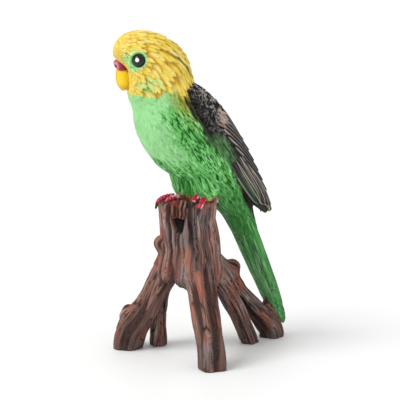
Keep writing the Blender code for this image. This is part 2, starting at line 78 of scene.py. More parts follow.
# Rows of the bird's straight profile, from the face to the rump:
# turn of the section in degrees, half width, back y, back z, front y, front z
BODY_STATIONS = [
    (29, 0.0, -24.9, 47.0, -24.9, 47.0),
    (29, 4.6, -24.8, 49.0, -23.7, 45.7),
    (29, 7.5, -24.0, 51.1, -21.9, 44.3),
    (29, 9.4, -22.3, 53.1, -20.4, 42.6),
    (29, 10.7, -19.3, 54.6, -20.0, 40.0),
    (28, 11.3, -15.3, 55.0, -20.0, 37.3),
    (27, 11.5, -10.8, 54.1, -20.3, 35.1),
    (25, 11.4, -6.1, 51.7, -20.1, 33.5),
    (21, 11.3, -2.1, 47.8, -19.6, 32.1),
    (15, 11.4, -0.3, 42.6, -19.0, 30.3),
    (8, 11.8, 0.9, 37.2, -18.6, 28.3),
    (3, 12.4, 4.0, 32.6, -18.3, 25.4),
    (0, 13.0, 7.5, 27.8, -17.4, 22.2),
    (0, 13.4, 10.6, 23.0, -15.7, 18.8),
    (0, 13.5, 13.3, 18.2, -13.3, 15.3),
    (0, 13.2, 15.6, 13.2, -9.9, 11.6),
    (0, 12.4, 17.4, 8.2, -5.4, 8.4),
    (0, 10.8, 19.0, 3.4, 0.6, 5.2),
    (0, 8.6, 21.0, -1.2, 5.8, 1.2),
    (0, 6.6, 23.2, -5.5, 10.2, -2.9),
    (0, 5.4, 25.2, -9.5, 14.8, -7.1),
    (0, 3.8, 26.2, -12.5, 19.6, -10.8),
    (0, 0.0, 23.0, -12.6, 23.0, -12.6),
]

# Upper and lower bill on the turned head: y, z and radius
BILL = [(-20.0, 43.4, 0.6), (-21.2, 42.4, 2.3), (-21.4, 40.6, 2.6), (-21.4, 38.6, 2.4),
        (-21.5, 37.2, 1.8), (-21.6, 36.2, 0.9), (-21.6, 35.8, 0.1)]
LOWER_BILL = [(-19.4, 38.2, 0.4), (-20.1, 37.3, 1.0), (-20.3, 36.4, 0.95), (-20.4, 35.8, 0.2)]

# Left thigh, from the belly to the stump: centre and radius
THIGH = [(5.4, 1.6, 18.0, 1.0), (5.9, 2.0, 14.0, 5.0), (6.0, 2.6, 9.0, 5.2), (5.8, 2.9, 4.6, 4.5),
         (5.3, 3.1, 1.6, 3.8), (5.1, 3.1, 0.2, 3.2), (5.1, 3.1, -1.0, 0.6)]

# Ridge that carries both wings over the rump: y, z, half width and half depth
BACK_RIDGE = [(4.0, 30.0, 2.0, 1.5), (8.0, 25.0, 6.5, 5.0), (13.0, 17.0, 8.0, 6.0),
              (17.5, 9.5, 7.5, 6.0), (20.5, 3.0, 5.5, 5.0), (22.5, -1.5, 3.0, 3.0),
              (23.0, -3.0, 0.5, 0.5)]

# Rump that flows into the tail: y, z, half width and half depth
RUMP = [(17.4, 0.0, 1.0, 1.0), (17.9, -1.5, 6.4, 5.6), (20.4, -7.5, 6.3, 4.5),
        (22.9, -13.0, 6.2, 3.4), (25.3, -18.0, 5.8, 2.5), (26.9, -21.5, 5.0, 1.5),
        (27.3, -22.5, 0.6, 0.4)]

# Left wing: its edge along the back and its lower edge, from shoulder to tip
WING_BACK_EDGE = [
    (3.4, -4.0, 39.6), (2.2, 2.4, 35.6), (1.3, 9.2, 30.6), (1.0, 14.4, 24.2), (1.0, 18.9, 17.6),
    (1.3, 22.8, 10.8), (2.0, 26.0, 4.3), (3.2, 28.6, -1.8), (5.0, 29.8, -7.4),
]
WING_LOW_EDGE = [
    (9.6, -8.6, 38.6), (11.9, -6.2, 31.2), (13.0, -2.6, 24.0), (13.3, 2.4, 17.6), (12.8, 7.6, 11.8),
    (11.6, 12.2, 6.4), (9.8, 17.4, 1.2), (7.8, 22.8, -4.2), (5.3, 28.7, -8.0),
]
WING_BULGE = [1.4, 2.4, 3.0, 3.2, 3.1, 2.8, 2.3, 1.5, 0.2]

# Roots: centre line points with a radius at each, from the trunk to the floor
ROOTS = {
    "front": [(3.0, -0.7, 46, 3.4), (6.6, -1.4, 35, 4.8), (13.3, -2.8, 20.6, 4.7),
              (17.9, -3.8, 10, 4.4), (20, -4.3, 0, 4.5)],
    "left": [(-1, -0.8, 42, 2.4), (-4.6, -3.7, 31, 4.6), (-10.3, -8.2, 17.2, 4.2),
             (-15.1, -12.1, 7.6, 4.8), (-16.9, -13.4, 0, 4.7)],
    "left_back": [(-2, 0.4, 35, 1.8), (-7.6, -1, 27, 3.2), (-12.2, -2.4, 18, 2.6),
                  (-13.1, -2.9, 9, 2.4), (-13.4, -3.1, 0, 2.7)],
    "right": [(0.6, 3, 34, 1.8), (1.4, 9.6, 26, 3.4), (1.6, 16.6, 15.8, 3.0),
              (1.7, 20.7, 8, 2.8), (1.8, 24.2, 0, 2.9)],
    "back": [(0, 3, 37, 2), (-0.2, 10.6, 29.8, 3.6), (-0.6, 18, 21.6, 3.3),
             (-0.8, 26, 12.6, 3), (-0.6, 33.3, 5.0, 4.1), (-0.4, 35.1, 0, 4.0)],
}

# Knots of the bark and the web that ties the tail to the back root: centre and radii
KNOTS = [
    ((-4.9, -7.2, 36.6), (2.6, 2.5, 3.0)), ((-15.8, -13.7, 11.9), (2.7, 2.9, 3.3)),
    ((0.2, 17.8, 26.7), (3.2, 3.2, 3.4)), ((7.3, 4.0, 52.0), (1.8, 1.8, 1.9)),
    ((0.0, 33.9, 9.8), (1.6, 3.0, 6.0)),
]

# Lip of bark along the front of the rim: direction from the stump's axis in degrees, half
# height and half thickness
RIM_LIP = [(-84.0, 0.3, 0.4), (-76.0, 0.8, 0.7), (-66.0, 1.5, 0.9), (-50.0, 1.6, 0.9),
           (-36.0, 1.1, 0.8), (-26.0, 0.3, 0.4)]


# Number tools


def unit(vectors: Array) -> Array:
    """Each vector at length one: the vector over the root of the sum of its squares."""
    return vectors / np.maximum(np.linalg.norm(vectors, axis=-1, keepdims=True), 1e-9)


def ramp(low: float, high: float, x: Array) -> Array:
    """Smooth step from 0 at low to 1 at high: three t squared less two t cubed."""
    t = np.clip((np.asarray(x, float) - low) / (high - low), 0, 1)
    return t * t * (3 - 2 * t)


def curve(stations: list, places: Array) -> Array:
    """Smooth curve through the stations: a cubic whose slope at each is half the chord
    between its neighbours.

    Args:
        stations: Rows of numbers, evenly spread from place 0 to place 1.
        places: Places along the curve, an array of any shape.

    Returns:
        One row of numbers for each place.
    """
    points = np.asarray(stations, float)
    if points.ndim == 1:
        points = points[:, None]
    padded = np.vstack([2 * points[0] - points[1], points, 2 * points[-1] - points[-2]])
    place = np.clip(np.asarray(places, float), 0, 1) * (len(points) - 1)
    index = np.minimum(place.astype(int), len(points) - 2)
    t = (place - index)[..., None]
    before, start, end, after = (padded[index + k] for k in range(4))
    return 0.5 * (
        2 * start
        + (end - before) * t
        + (2 * before - 5 * start + 4 * end - after) * t**2
        + (3 * start - before - 3 * end + after) * t**3
    )


def lattice(seed: int) -> Array:
    """A fixed table of 4096 random numbers from 0 to 1 for one pattern."""
    return np.random.default_rng(seed).random(4096)


def hashed(i: Array, j: Array, seed: int) -> Array:
    """A random number from 0 to 1 for each whole-number pair (i, j)."""
    return lattice(seed)[(i.astype(np.int64) * 7919 + j.astype(np.int64) * 104729) & 4095]


def wrapped_noise(along: Array, turns: Array, length: float, count: int, seed: int) -> Array:
    """Value noise on a strip that closes round a piece: random numbers at the corners of
    cells, blended across each cell by smooth steps.

    Args:
        along: Distance along the piece in millimetres.
        turns: Place round the piece, where 1 is one full turn.
        length: Length of a cell in millimetres.
        count: Number of cells in one turn.
        seed: Which pattern.

    Returns:
        Values from 0 to 1.
    """
    x, y = along / length, turns * count
    i, j = np.floor(x), np.floor(y)
    u, v = ramp(0, 1, x - i), ramp(0, 1, y - j)
    low = hashed(i, j % count, seed) * (1 - u) + hashed(i + 1, j % count, seed) * u
    high = hashed(i, (j + 1) % count, seed) * (1 - u) + hashed(i + 1, (j + 1) % count, seed) * u
    return low * (1 - v) + high * v


def solid_noise(points: Array, size: float, seed: int) -> Array:
    """Value noise in space: random numbers at the corners of cubes, blended by smooth steps.

    Args:
        points: Points in millimetres.
        size: Side of a cube in millimetres.
        seed: Which pattern.

    Returns:
        Values from 0 to 1.
    """
    place = points / size
    cell = np.floor(place)
    t = ramp(0, 1, place - cell)
    table, cell = lattice(seed), cell.astype(np.int64)
    total = 0.0
    for corner in np.ndindex(2, 2, 2):
        c = np.array(corner)
        weight = np.prod(np.where(c == 1, t, 1 - t), axis=-1)
        i, j, k = np.moveaxis(cell + c, -1, 0)
        total = total + weight * table[(i * 7919 + j * 104729 + k * 31337) & 4095]
    return total


def overlapped(along: Array, turns: Array, length: float, count: int, seed: int) -> tuple:
    """Overlapping feathers: each rises from root to a leaf-shaped tip, and the one nearer
    the face covers the root of the next. Its half width is (1 - t ** 3) ** 0.8 of a cell.

    Args:
        along: Distance from the face in millimetres.
        turns: Place round the piece, where 1 is one full turn.
        length: Distance between rows in millimetres.
        count: Feathers in one row.
        seed: Which pattern.

    Returns:
        Height from 0 to 1, and a random number of the feather that shows.
    """
    row = along / length
    height, tint = np.zeros_like(row), np.zeros_like(row)
    for back in (0, 1):
        i = np.floor(row) - back
        x = turns * count + 0.5 * (i % 2)
        for side in (-1, 0, 1):
            j = np.floor(x) + side
            key = j % count
            wander, start = hashed(i, key, seed), hashed(i, key, seed + 1)
            t = (row - i - 0.8 * (start - 0.5)) / 1.7
            w = (x - j - 0.5 - 0.55 * (wander - 0.5)) / 0.66
            half = np.clip(1 - np.clip(t, 0, 1) ** 3, 0.0, 1) ** 0.8
            inside = (t > 0) & (t < 1) & (np.abs(w) < half)
            rise = (0.25 + 0.75 * t) * (1 - 0.55 * (w / np.maximum(half, 0.05)) ** 2)
            better = inside & (rise > height)
            height = np.where(better, rise, height)
            tint = np.where(better, hashed(i, key, seed + 2), tint)
    return height, tint


def linear(code: str) -> Array:
    """An sRGB hex code as three linear numbers: below 0.04045 over 12.92, and above it
    (value + 0.055) / 1.055 to the power 2.4."""
    value = np.array([int(code[k : k + 2], 16) for k in (1, 3, 5)]) / 255
    return np.where(value <= 0.04045, value / 12.92, ((value + 0.055) / 1.055) ** 2.4)


def mixed(under: Array, over: Array, share: Array) -> Array:
    """One colour over another: under + (over - under) * share."""
    return under + (over - under) * np.asarray(share)[..., None]


def layered(shape: tuple, base: str, *coats: tuple) -> Array:
    """Coats of paint laid one over another.

    Args:
        shape: Shape of the array of colours.
        base: Hex code of the base coat.
        coats: For each coat over it, a hex code and the share of it that shows.

    Returns:
        The colour at each point.
    """
    colour = np.broadcast_to(linear(base), shape)
    for code, share in coats:
        colour = mixed(colour, linear(code), share)
    return colour


# Surfaces


@dataclass
class Skin:
    """A mesh in the design frame, in millimetres, with what was worked out for its points."""

    points: Array
    quads: Array
    triangles: Array = field(default_factory=lambda: np.zeros((0, 3), int))
    layers: dict = field(default_factory=dict)

    @staticmethod
    def from_rings(rings: Array, layers: dict | None = None) -> "Skin":
        """A closed skin over rings of points, whose first and last ring close to a pole.

        Args:
            rings: Array of rows, places round a row, and three coordinates.
            layers: Values for each point of the same grid, by name.

        Returns:
            The skin, facing outwards.
        """
        rows, sides = rings.shape[:2]
        grid = np.arange((rows - 2) * sides).reshape(rows - 2, sides)
        after = np.roll(grid, -1, 1)
        quads = np.stack([grid[:-1], grid[1:], after[1:], after[:-1]], -1).reshape(-1, 4)
        first, last = grid.size, grid.size + 1
        caps = np.concatenate([
            np.stack([np.full(sides, first), grid[0], after[0]], -1),
            np.stack([np.full(sides, last), after[-1], grid[-1]], -1),
        ])
        poles = [rings[0].mean(0), rings[-1].mean(0)]
        skin = Skin(np.vstack([rings[1:-1].reshape(-1, 3), poles]), quads, caps)
        for name, values in (layers or {}).items():
            values = np.broadcast_to(values, (rows, sides) + np.shape(values)[2:])
            ends = [values[0].mean(0), values[-1].mean(0)]
            skin.layers[name] = np.concatenate(
                [values[1:-1].reshape((-1,) + values.shape[2:]), ends]
            )
        return skin.outward()

    @staticmethod
    def joined(skins: list) -> "Skin":
        """Several skins as one, each keeping its own points.

        Args:
            skins: Skins with the same layers.

        Returns:
            One skin of all their points and faces.
        """
        offsets = np.cumsum([0] + [len(s.points) for s in skins[:-1]])
        names = skins[0].layers
        return Skin(
            np.vstack([s.points for s in skins]),
            np.vstack([s.quads + k for s, k in zip(skins, offsets)]),
            np.vstack([s.triangles + k for s, k in zip(skins, offsets)]),
            {name: np.concatenate([s.layers[name] for s in skins]) for name in names},
        )

    def outward(self) -> "Skin":
        """Turns the faces outwards, by the sign of the skin's volume.

        Returns:
            The same skin.
        """
        parts = [self.quads[:, [0, 1, 2]], self.quads[:, [0, 2, 3]], self.triangles]
        a, b, c = np.moveaxis(self.points[np.vstack(parts)], 1, 0)
        if (np.cross(a, b) * c).sum() < 0:
            self.quads, self.triangles = self.quads[:, ::-1], self.triangles[:, ::-1]
        return self

    def normals(self) -> Array:
        """Outward direction at each point: the sum of the cross products of the diagonals
        of the faces that meet there, at length one.

        Returns:
            One direction for each point.
        """
        p, q = self.points, self.quads
        face = np.cross(p[q[:, 2]] - p[q[:, 0]], p[q[:, 3]] - p[q[:, 1]])
        total = np.zeros_like(p)
        for k in range(4):
            for axis in range(3):
                total[:, axis] += np.bincount(q[:, k], face[:, axis], len(p))
        t = self.triangles
        if len(t):
            face = np.cross(p[t[:, 1]] - p[t[:, 0]], p[t[:, 2]] - p[t[:, 0]])
            for k in range(3):
                for axis in range(3):
                    total[:, axis] += np.bincount(t[:, k], face[:, axis], len(p))
        return unit(total)

    def relaxed(self, rounds: int, share: Array | float = 0.5) -> "Skin":
        """Smooths the skin: each point moves by a share towards the mean of its neighbours.

        Args:
            rounds: How many times.
            share: The share, one number or one for each point.

        Returns:
            The same skin.
        """
        edges = np.vstack([self.quads[:, [k, (k + 1) % 4]] for k in range(4)])
        count = np.bincount(edges[:, 0], minlength=len(self.points)).astype(float)
        for _ in range(rounds):
            mean = np.stack([
                np.bincount(edges[:, 0], self.points[edges[:, 1], axis], len(self.points))
                for axis in range(3)
            ], 1) / np.maximum(count, 1)[:, None]
            self.points = self.points + share * np.where(
                count[:, None] > 0, mean - self.points, 0
            )
        return self

    def fused(self, voxel: float) -> "Skin":
        """One closed surface round all the overlapping skins, by a voxel remesh.

        Args:
            voxel: Side of a voxel in millimetres.

        Returns:
            A new skin of four-sided faces only.
        """
        mesh = self.mesh("fusing")
        obj = linked("fusing", mesh)
        remesh = obj.modifiers.new("fuse", "REMESH")
        remesh.mode, remesh.voxel_size = "VOXEL", voxel * MM
        graph = bpy.context.evaluated_depsgraph_get()
        result = bpy.data.meshes.new_from_object(obj.evaluated_get(graph))
        points = np.zeros(len(result.vertices) * 3, np.float32)
        corners = np.zeros(len(result.loops), np.int32)
        result.vertices.foreach_get("co", points)
        result.loops.foreach_get("vertex_index", corners)
        bpy.data.objects.remove(obj)
        for used in (mesh, result):
            bpy.data.meshes.remove(used)
        where = points.reshape(-1, 3).astype(float) / MM - ROW_SHIFT
        return Skin(where, corners.reshape(-1, 4).astype(int)).outward()

    def mesh(self, name: str) -> bpy.types.Mesh:
        """The skin as a mesh in the row frame, in metres, with its layers as attributes.

        Args:
            name: The mesh's name.

        Returns:
            The mesh, shaded smooth.
        """
        data = bpy.data.meshes.new(name)
        faces = self.quads.tolist() + self.triangles.tolist()
        data.from_pydata(((self.points + ROW_SHIFT) * MM).tolist(), [], faces)
        for layer, values in self.layers.items():
            if values.ndim == 2:
                kept = data.attributes.new(layer, "FLOAT_COLOR", "POINT")
                colour = np.ones((len(values), 4))
                colour[:, :3] = values
                kept.data.foreach_set("color", colour.astype(np.float32).ravel())
            else:
                kept = data.attributes.new(layer, "FLOAT", "POINT")
                kept.data.foreach_set("value", values.astype(np.float32))
        data.shade_smooth()
        return data


class Coat(Enum):
    """How a surface was painted, with how strongly its coat mirrors. Matte acrylic dry brushed
    over a dark wash looks dull and picks out the relief, one flat coat of satin acrylic has a
    broad weak highlight, and gloss enamel flooded on has a small sharp one."""

    DRY_BRUSHED = 0.22
    SATIN = 0.45
    GLOSS = 0.5


@dataclass(frozen=True)
class Paint:
    """Acrylic paint on moulded PVC. Its brushed pigment gives a soft, slightly uneven shine,
    with a dark wash lying in the carved strokes and a pale coat dragged over what stands out.

    Lengths are in millimetres. A stroke is the carved barb or bark fibre that the brush
    followed; a scribble is the mark of a nearly dry brush dabbed over rough ground.
    """

    name: str
    coat: Coat
    roughness: float
    stroke_length: float = 0.0
    stroke_width: float = 0.4
    stroke_depth: float = 0.06
    wash_from: float = 0.54
    wash_to: float = 0.60
    pale_from: float = 0.50
    pale_to: float = 0.40
    scribble: float = 0.0
    grain: float = 0.35
    mottle: float = 0.05
    blotch_size: float = 4.0
    refraction: float = 1.49

    def material(self) -> bpy.types.Material:
        """Builds the paint from the mesh's attributes: base coat, wash and pale coat with
        their strengths, broken up by noise stretched along the feather or the bark.

        Returns:
            The finished material.
        """
        made = bpy.data.materials.new(self.name)
        made.use_nodes = True
        tree = made.node_tree
        shader = tree.nodes["Principled BSDF"]
        place = add_node(tree, "ShaderNodeTexCoord").outputs["Object"]
        grain = add_node(
            tree, "ShaderNodeTexNoise", links={"Vector": place},
            values={"Scale": 1 / (self.grain * MM), "Detail": 2.0},
        ).outputs["Fac"]
        colour = self.layer(tree, "paint", "Color")
        height = grain
        if self.stroke_length:
            stretched = add_node(
                tree, "ShaderNodeVectorMath", {"operation": "MULTIPLY"},
                {0: self.layer(tree, "chart", "Vector")},
                {1: (1 / self.stroke_length, 1 / self.stroke_width, 1 / self.stroke_width)},
            ).outputs[0]
            height = add_node(
                tree, "ShaderNodeTexNoise", links={"Vector": stretched},
                values={"Scale": 1.0, "Detail": 2.0, "Roughness": 0.55},
            ).outputs["Fac"]
            washed = self.spread(tree, height, self.wash_from, self.wash_to)
            colour = self.coat_over(tree, colour, "wash", washed)
            brushed = self.spread(tree, height, self.pale_from, self.pale_to)
            if self.scribble:
                brushed = add_node(
                    tree, "ShaderNodeMix", {"data_type": "FLOAT"},
                    {0: self.layer(tree, "scribbles", "Fac"), 2: brushed,
                     3: self.scribbled(tree, place)},
                ).outputs[0]
            colour = self.coat_over(tree, colour, "pale", brushed)
        if self.mottle:
            blotch = add_node(
                tree, "ShaderNodeTexNoise", links={"Vector": place},
                values={"Scale": 1 / (self.blotch_size * MM), "Detail": 2.0},
            ).outputs["Fac"]
            bright = self.spread(tree, blotch, 0.3, 0.7, 1 - self.mottle, 1 + self.mottle)
            colour = add_node(
                tree, "ShaderNodeHueSaturation", links={"Color": colour, "Value": bright}
            ).outputs["Color"]
        tree.links.new(colour, shader.inputs["Base Color"])
        shine = self.spread(tree, grain, 0.3, 0.7, self.roughness - 0.06, self.roughness + 0.08)
        tree.links.new(shine, shader.inputs["Roughness"])
        if self.coat is Coat.DRY_BRUSHED:
            depth = self.spread(
                tree, self.layer(tree, "wash_strength", "Fac"), 0.0, 0.5, 0.1, 0.9)
            bump = add_node(
                tree, "ShaderNodeBump", {"invert": True},
                {"Height": height, "Strength": depth}, {"Distance": self.stroke_depth * MM},
            ).outputs["Normal"]
            tree.links.new(bump, shader.inputs["Normal"])
        shader.inputs["IOR"].default_value = self.refraction
        shader.inputs["Specular IOR Level"].default_value = self.coat.value
        return made

    def layer(self, tree: bpy.types.NodeTree, name: str, output: str) -> bpy.types.NodeSocket:
        """One attribute of the mesh, by its name and the output that reads it."""
        return add_node(tree, "ShaderNodeAttribute", {"attribute_name": name}).outputs[output]

    def spread(
        self, tree: bpy.types.NodeTree, value: bpy.types.NodeSocket, low: float, high: float,
        first: float = 0.0, last: float = 1.0,
    ) -> bpy.types.NodeSocket:
        """Values from low to high as values from first to last, held at both ends.

        Args:
            tree: The material's node tree.
            value: The values to spread.
            low: The value that becomes first.
            high: The value that becomes last.
            first: What low becomes.
            last: What high becomes.

        Returns:
            The spread values.
        """
        return add_node(
            tree, "ShaderNodeMapRange", links={"Value": value},
            values={"From Min": low, "From Max": high, "To Min": first, "To Max": last},
        ).outputs["Result"]

    def scribbled(
        self, tree: bpy.types.NodeTree, place: bpy.types.NodeSocket
    ) -> bpy.types.NodeSocket:
        """Thin crooked marks: noise within 0.02 of its middle value, fading out to 0.05.

        Args:
            tree: The material's node tree.
            place: Object coordinates.

        Returns:
            1 on a mark and 0 off it.
        """
        noise = add_node(
            tree, "ShaderNodeTexNoise", links={"Vector": place},
            values={"Scale": 1 / (self.scribble * MM), "Detail": 1.0, "Distortion": 1.0},
        ).outputs["Fac"]
        off = add_node(
            tree, "ShaderNodeMath", {"operation": "SUBTRACT"}, {0: noise}, {1: 0.5}
        ).outputs[0]
        off = add_node(tree, "ShaderNodeMath", {"operation": "ABSOLUTE"}, {0: off}).outputs[0]
        return self.spread(tree, off, 0.05, 0.02)

    def coat_over(
        self, tree: bpy.types.NodeTree, colour: bpy.types.NodeSocket, name: str,
        mask: bpy.types.NodeSocket,
    ) -> bpy.types.NodeSocket:
        """Lays a coat over a colour, where both its own strength and the mask are.

        Args:
            tree: The material's node tree.
            colour: The colour so far.
            name: Attribute with the coat's colour; its strength is in name_strength.
            mask: Where the brush or the wash reached.

        Returns:
            The colour with the coat on it.
        """
        share = add_node(
            tree, "ShaderNodeMath", {"operation": "MULTIPLY", "use_clamp": True},
            {0: self.layer(tree, name + "_strength", "Fac"), 1: mask},
        ).outputs[0]
        return add_node(
            tree, "ShaderNodeMix", {"data_type": "RGBA"},
            {0: share, 6: colour, 7: self.layer(tree, name, "Color")},
        ).outputs[2]


def add_node(
    tree: bpy.types.NodeTree, kind: str, settings: dict | None = None,
    links: dict | None = None, values: dict | None = None,
) -> bpy.types.Node:
    """Adds one node.

    Args:
        tree: The material's node tree.
        kind: Blender's name for the kind of node.
        settings: Properties of the node.
        links: Output sockets to join, by input socket.
        values: Fixed values, by input socket.

    Returns:
        The node.
    """
    node = tree.nodes.new(kind)
    for key, value in (settings or {}).items():
        setattr(node, key, value)
    for key, value in (values or {}).items():
        node.inputs[key].default_value = value
    for key, source in (links or {}).items():
        tree.links.new(source, node.inputs[key])
    return node


def linked(name: str, data: bpy.types.ID, facing: Vector | None = None) -> bpy.types.Object:
    """Adds an object to the scene, at the origin.

    Args:
        name: The object's name.
        data: Its mesh, light or camera.
        facing: Direction of its own Z axis, or None to leave it unturned.

    Returns:
        The object.
    """
    obj = bpy.data.objects.new(name, data)
    if facing is not None:
        obj.rotation_mode = "QUATERNION"
        obj.rotation_quaternion = facing.to_track_quat("Z", "Y")
    bpy.context.scene.collection.objects.link(obj)
    return obj


def place_piece(name: str, skin: Skin, material: bpy.types.Material) -> None:
    """Makes a skin an object of the figurine, inside the CAD box.

    Args:
        name: The piece's name.
        skin: Its surface.
        material: Its finish.
    """
    low, high = (np.array(c) / MM - ROW_SHIFT for c in CAD_BOX)
    skin.points = np.clip(skin.points, low + 0.01, high - 0.01)
    data = skin.mesh(name)
    data.materials.append(material)
    obj = linked(name, data)
    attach(obj, "root")
    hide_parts(NODE)
    LOG.info("%s: %d points, %d triangles", name, len(skin.points),
             2 * len(skin.quads) + len(skin.triangles))


def tube_rings(
    stations: list, sideways: tuple, rows: int, sides: int, relief: Array | float = 0.0
) -> Array:
    """Rings round a smooth path: centre + side * (width + relief) * sin(angle)
    + back * (depth + relief) * cos(angle).

    Args:
        stations: Rows of x, y, z, half width, half depth.
        sideways: The direction of the width.
        rows: Rings along the path.
        sides: Points in a ring.
        relief: Radial offset in millimetres, for each row and side.

    Returns:
        Points as an array of rows, sides and three coordinates.
    """
    numbers = curve(stations, np.linspace(0, 1, rows))
    centres, width, depth = numbers[:, :3], numbers[:, 3:4], numbers[:, -1:]
    along = unit(np.gradient(centres, axis=0))
    side = np.broadcast_to(np.asarray(sideways, float), centres.shape)
    side = unit(side - (side * along).sum(1, keepdims=True) * along)
    back = np.cross(side, along)
    around = np.arange(sides) * (TAU / sides)
    across = (np.maximum(width, 0.03) + relief) * np.sin(around)
    outward = (np.maximum(depth, 0.03) + relief) * np.cos(around)
    return centres[:, None] + side[:, None] * across[..., None] + back[:, None] * outward[..., None]


def ball_rings(centre: Array, radii: tuple, rows: int = 40, sides: int = 48) -> Array:
    """Rings of an ellipsoid: centre + radii * (sin v cos u, sin v sin u, cos v).

    Args:
        centre: Its middle.
        radii: Its three radii.
        rows: Rings from pole to pole.
        sides: Points in a ring.

    Returns:
        Points as an array of rows, sides and three coordinates.
    """
    v = np.linspace(0, math.pi, rows)[:, None]
    u = np.arange(sides)[None, :] * (TAU / sides)
    shape = np.stack([np.sin(v) * np.cos(u), np.sin(v) * np.sin(u), np.cos(v) + 0 * u], -1)
    return np.asarray(centre) + np.asarray(radii) * shape


def sided(points: Array, side: int) -> Array:
    """Points of the bird's left side, or their near mirror image on its right."""
    return points if side > 0 else points * np.array([-1.0, 1.0, 1.0]) + RIGHT_SIDE_SHIFT


def turned(y: Array, z: Array, turn: Array) -> Array:
    """Points of the straight profile, turned to the bird's right about the neck axis.

    Args:
        y: Where they lie along the bird, negative towards the face.
        z: Their heights above the perch.
        turn: Angle in radians.

    Returns:
        The turned points.
    """
    ahead = y - NECK_AXIS_Y
    return np.stack(
        np.broadcast_arrays(ahead * np.sin(turn), NECK_AXIS_Y + ahead * np.cos(turn), PERCH + z),
        -1,
    )


def on_head(side: float, y: float, z: float) -> Array:
    """A place on the turned head.

    Args:
        side: How far it lies to the bird's left.
        y: Where it lies along the straight profile.
        z: Its height above the perch.

    Returns:
        The point.
    """
    angle = math.radians(HEAD_TURN)
    leftward = np.array([math.cos(angle), -math.sin(angle), 0.0])
    return turned(np.array(y), np.array(z), np.array(angle)) + side * leftward


def body_point(share: Array, around: Array) -> Array:
    """The bird's skin: an ellipse between the back line and the breast line of each
    section, centre + reach * cos(around) + left * half width * sin(around).

    Args:
        share: Place from the face, 0, to the rump, 1.
        around: Angle from the back, 0, over the bird's left side, in radians.

    Returns:
        Points in millimetres.
    """
    rows = curve(BODY_STATIONS, share)
    turn, half = np.radians(rows[..., 0]), np.maximum(rows[..., 1], 0)
    back = turned(rows[..., 2], rows[..., 3], turn)
    front = turned(rows[..., 4], rows[..., 5], turn)
    left = np.stack([np.cos(turn), -np.sin(turn), 0 * turn], -1)
    return (
        (back + front) / 2
        + (back - front) / 2 * np.cos(around)[..., None]
        + left * (half * np.sin(around))[..., None]
    )


def wing_surface(along: Array, across: Array) -> Array:
    """The left wing's bowed outer surface: a straight line from the back edge to the lower
    edge, plus a bow of 4 * across * (1 - across) outwards.

    Args:
        along: Share of the wing's length, 0 at the shoulder and 1 at the tip.
        across: Share of its width, 0 at the back edge and 1 at the lower edge.

    Returns:
        Points in millimetres.
    """
    top, low = curve(WING_BACK_EDGE, along), curve(WING_LOW_EDGE, along)
    run = curve(WING_BACK_EDGE, along + 0.01) - curve(WING_BACK_EDGE, along - 0.01)
    outward = unit(np.cross(low - top, run))
    bow = curve(WING_BULGE, along) * (4 * across * (1 - across))[..., None]
    return top + (low - top) * across[..., None] + outward * bow + np.array([0, 0, PERCH])


def wing_point(along: Array, across: Array, side: int) -> tuple:
    """Points of a folded wing, and its outward directions: the cross product of two steps of
    0.01 along and across it.

    Args:
        along: Share of the wing's length.
        across: Share of its width.
        side: 1 for the bird's left wing, -1 for its right.

    Returns:
        Points and outward directions.
    """
    along, across = np.broadcast_arrays(np.asarray(along, float), np.asarray(across, float))
    step = 0.01
    lengthways = wing_surface(along + step, across) - wing_surface(along - step, across)
    widthways = wing_surface(along, across + step) - wing_surface(along, across - step)
    normal = unit(np.cross(widthways, lengthways))
    return sided(wing_surface(along, across), side), normal * np.array([side, 1.0, 1.0])


def nearest(
    surface: Callable[[Array, Array], Array], points: Array, us: Array, vs: Array, rounds: int = 3
) -> tuple:
    """The place on a two-parameter surface nearest to each point: the best of a coarse
    grid, then Gauss-Newton steps, each solving the two tangent equations.

    Args:
        surface: Function of two arrays that gives points.
        points: Points to look for.
        us: First parameter of the coarse grid.
        vs: Second parameter of the coarse grid.
        rounds: Number of steps.

    Returns:
        Both parameters for each point, and its distance from the surface.
    """
    gu, gv = (g.ravel() for g in np.meshgrid(us, vs, indexing="ij"))
    grid = surface(gu, gv)
    squares = (grid**2).sum(1)
    best = np.concatenate([
        np.argmin(squares - 2 * part @ grid.T, axis=1)
        for part in np.array_split(points, max(1, len(points) // 4000))
    ])
    u, v = gu[best], gv[best]
    du, dv = 0.25 * (us[1] - us[0]), 0.25 * (vs[1] - vs[0])
    for _ in range(rounds):
        here = surface(u, v)
        tu = (surface(u + du, v) - surface(u - du, v)) / (2 * du)
        tv = (surface(u, v + dv) - surface(u, v - dv)) / (2 * dv)
        off = points - here
        a, b, c = (tu * tu).sum(1), (tu * tv).sum(1), (tv * tv).sum(1)
        e, f = (tu * off).sum(1), (tv * off).sum(1)
        det = np.maximum(a * c - b * b, 1e-6)
        u = u + np.clip((c * e - b * f) / det, -2 * (us[1] - us[0]), 2 * (us[1] - us[0]))
        v = v + np.clip((a * f - b * e) / det, -2 * (vs[1] - vs[0]), 2 * (vs[1] - vs[0]))
        u = np.clip(u, us[0], us[-1])
    return u, v, np.linalg.norm(points - surface(u, v), axis=1)


# The bird's body


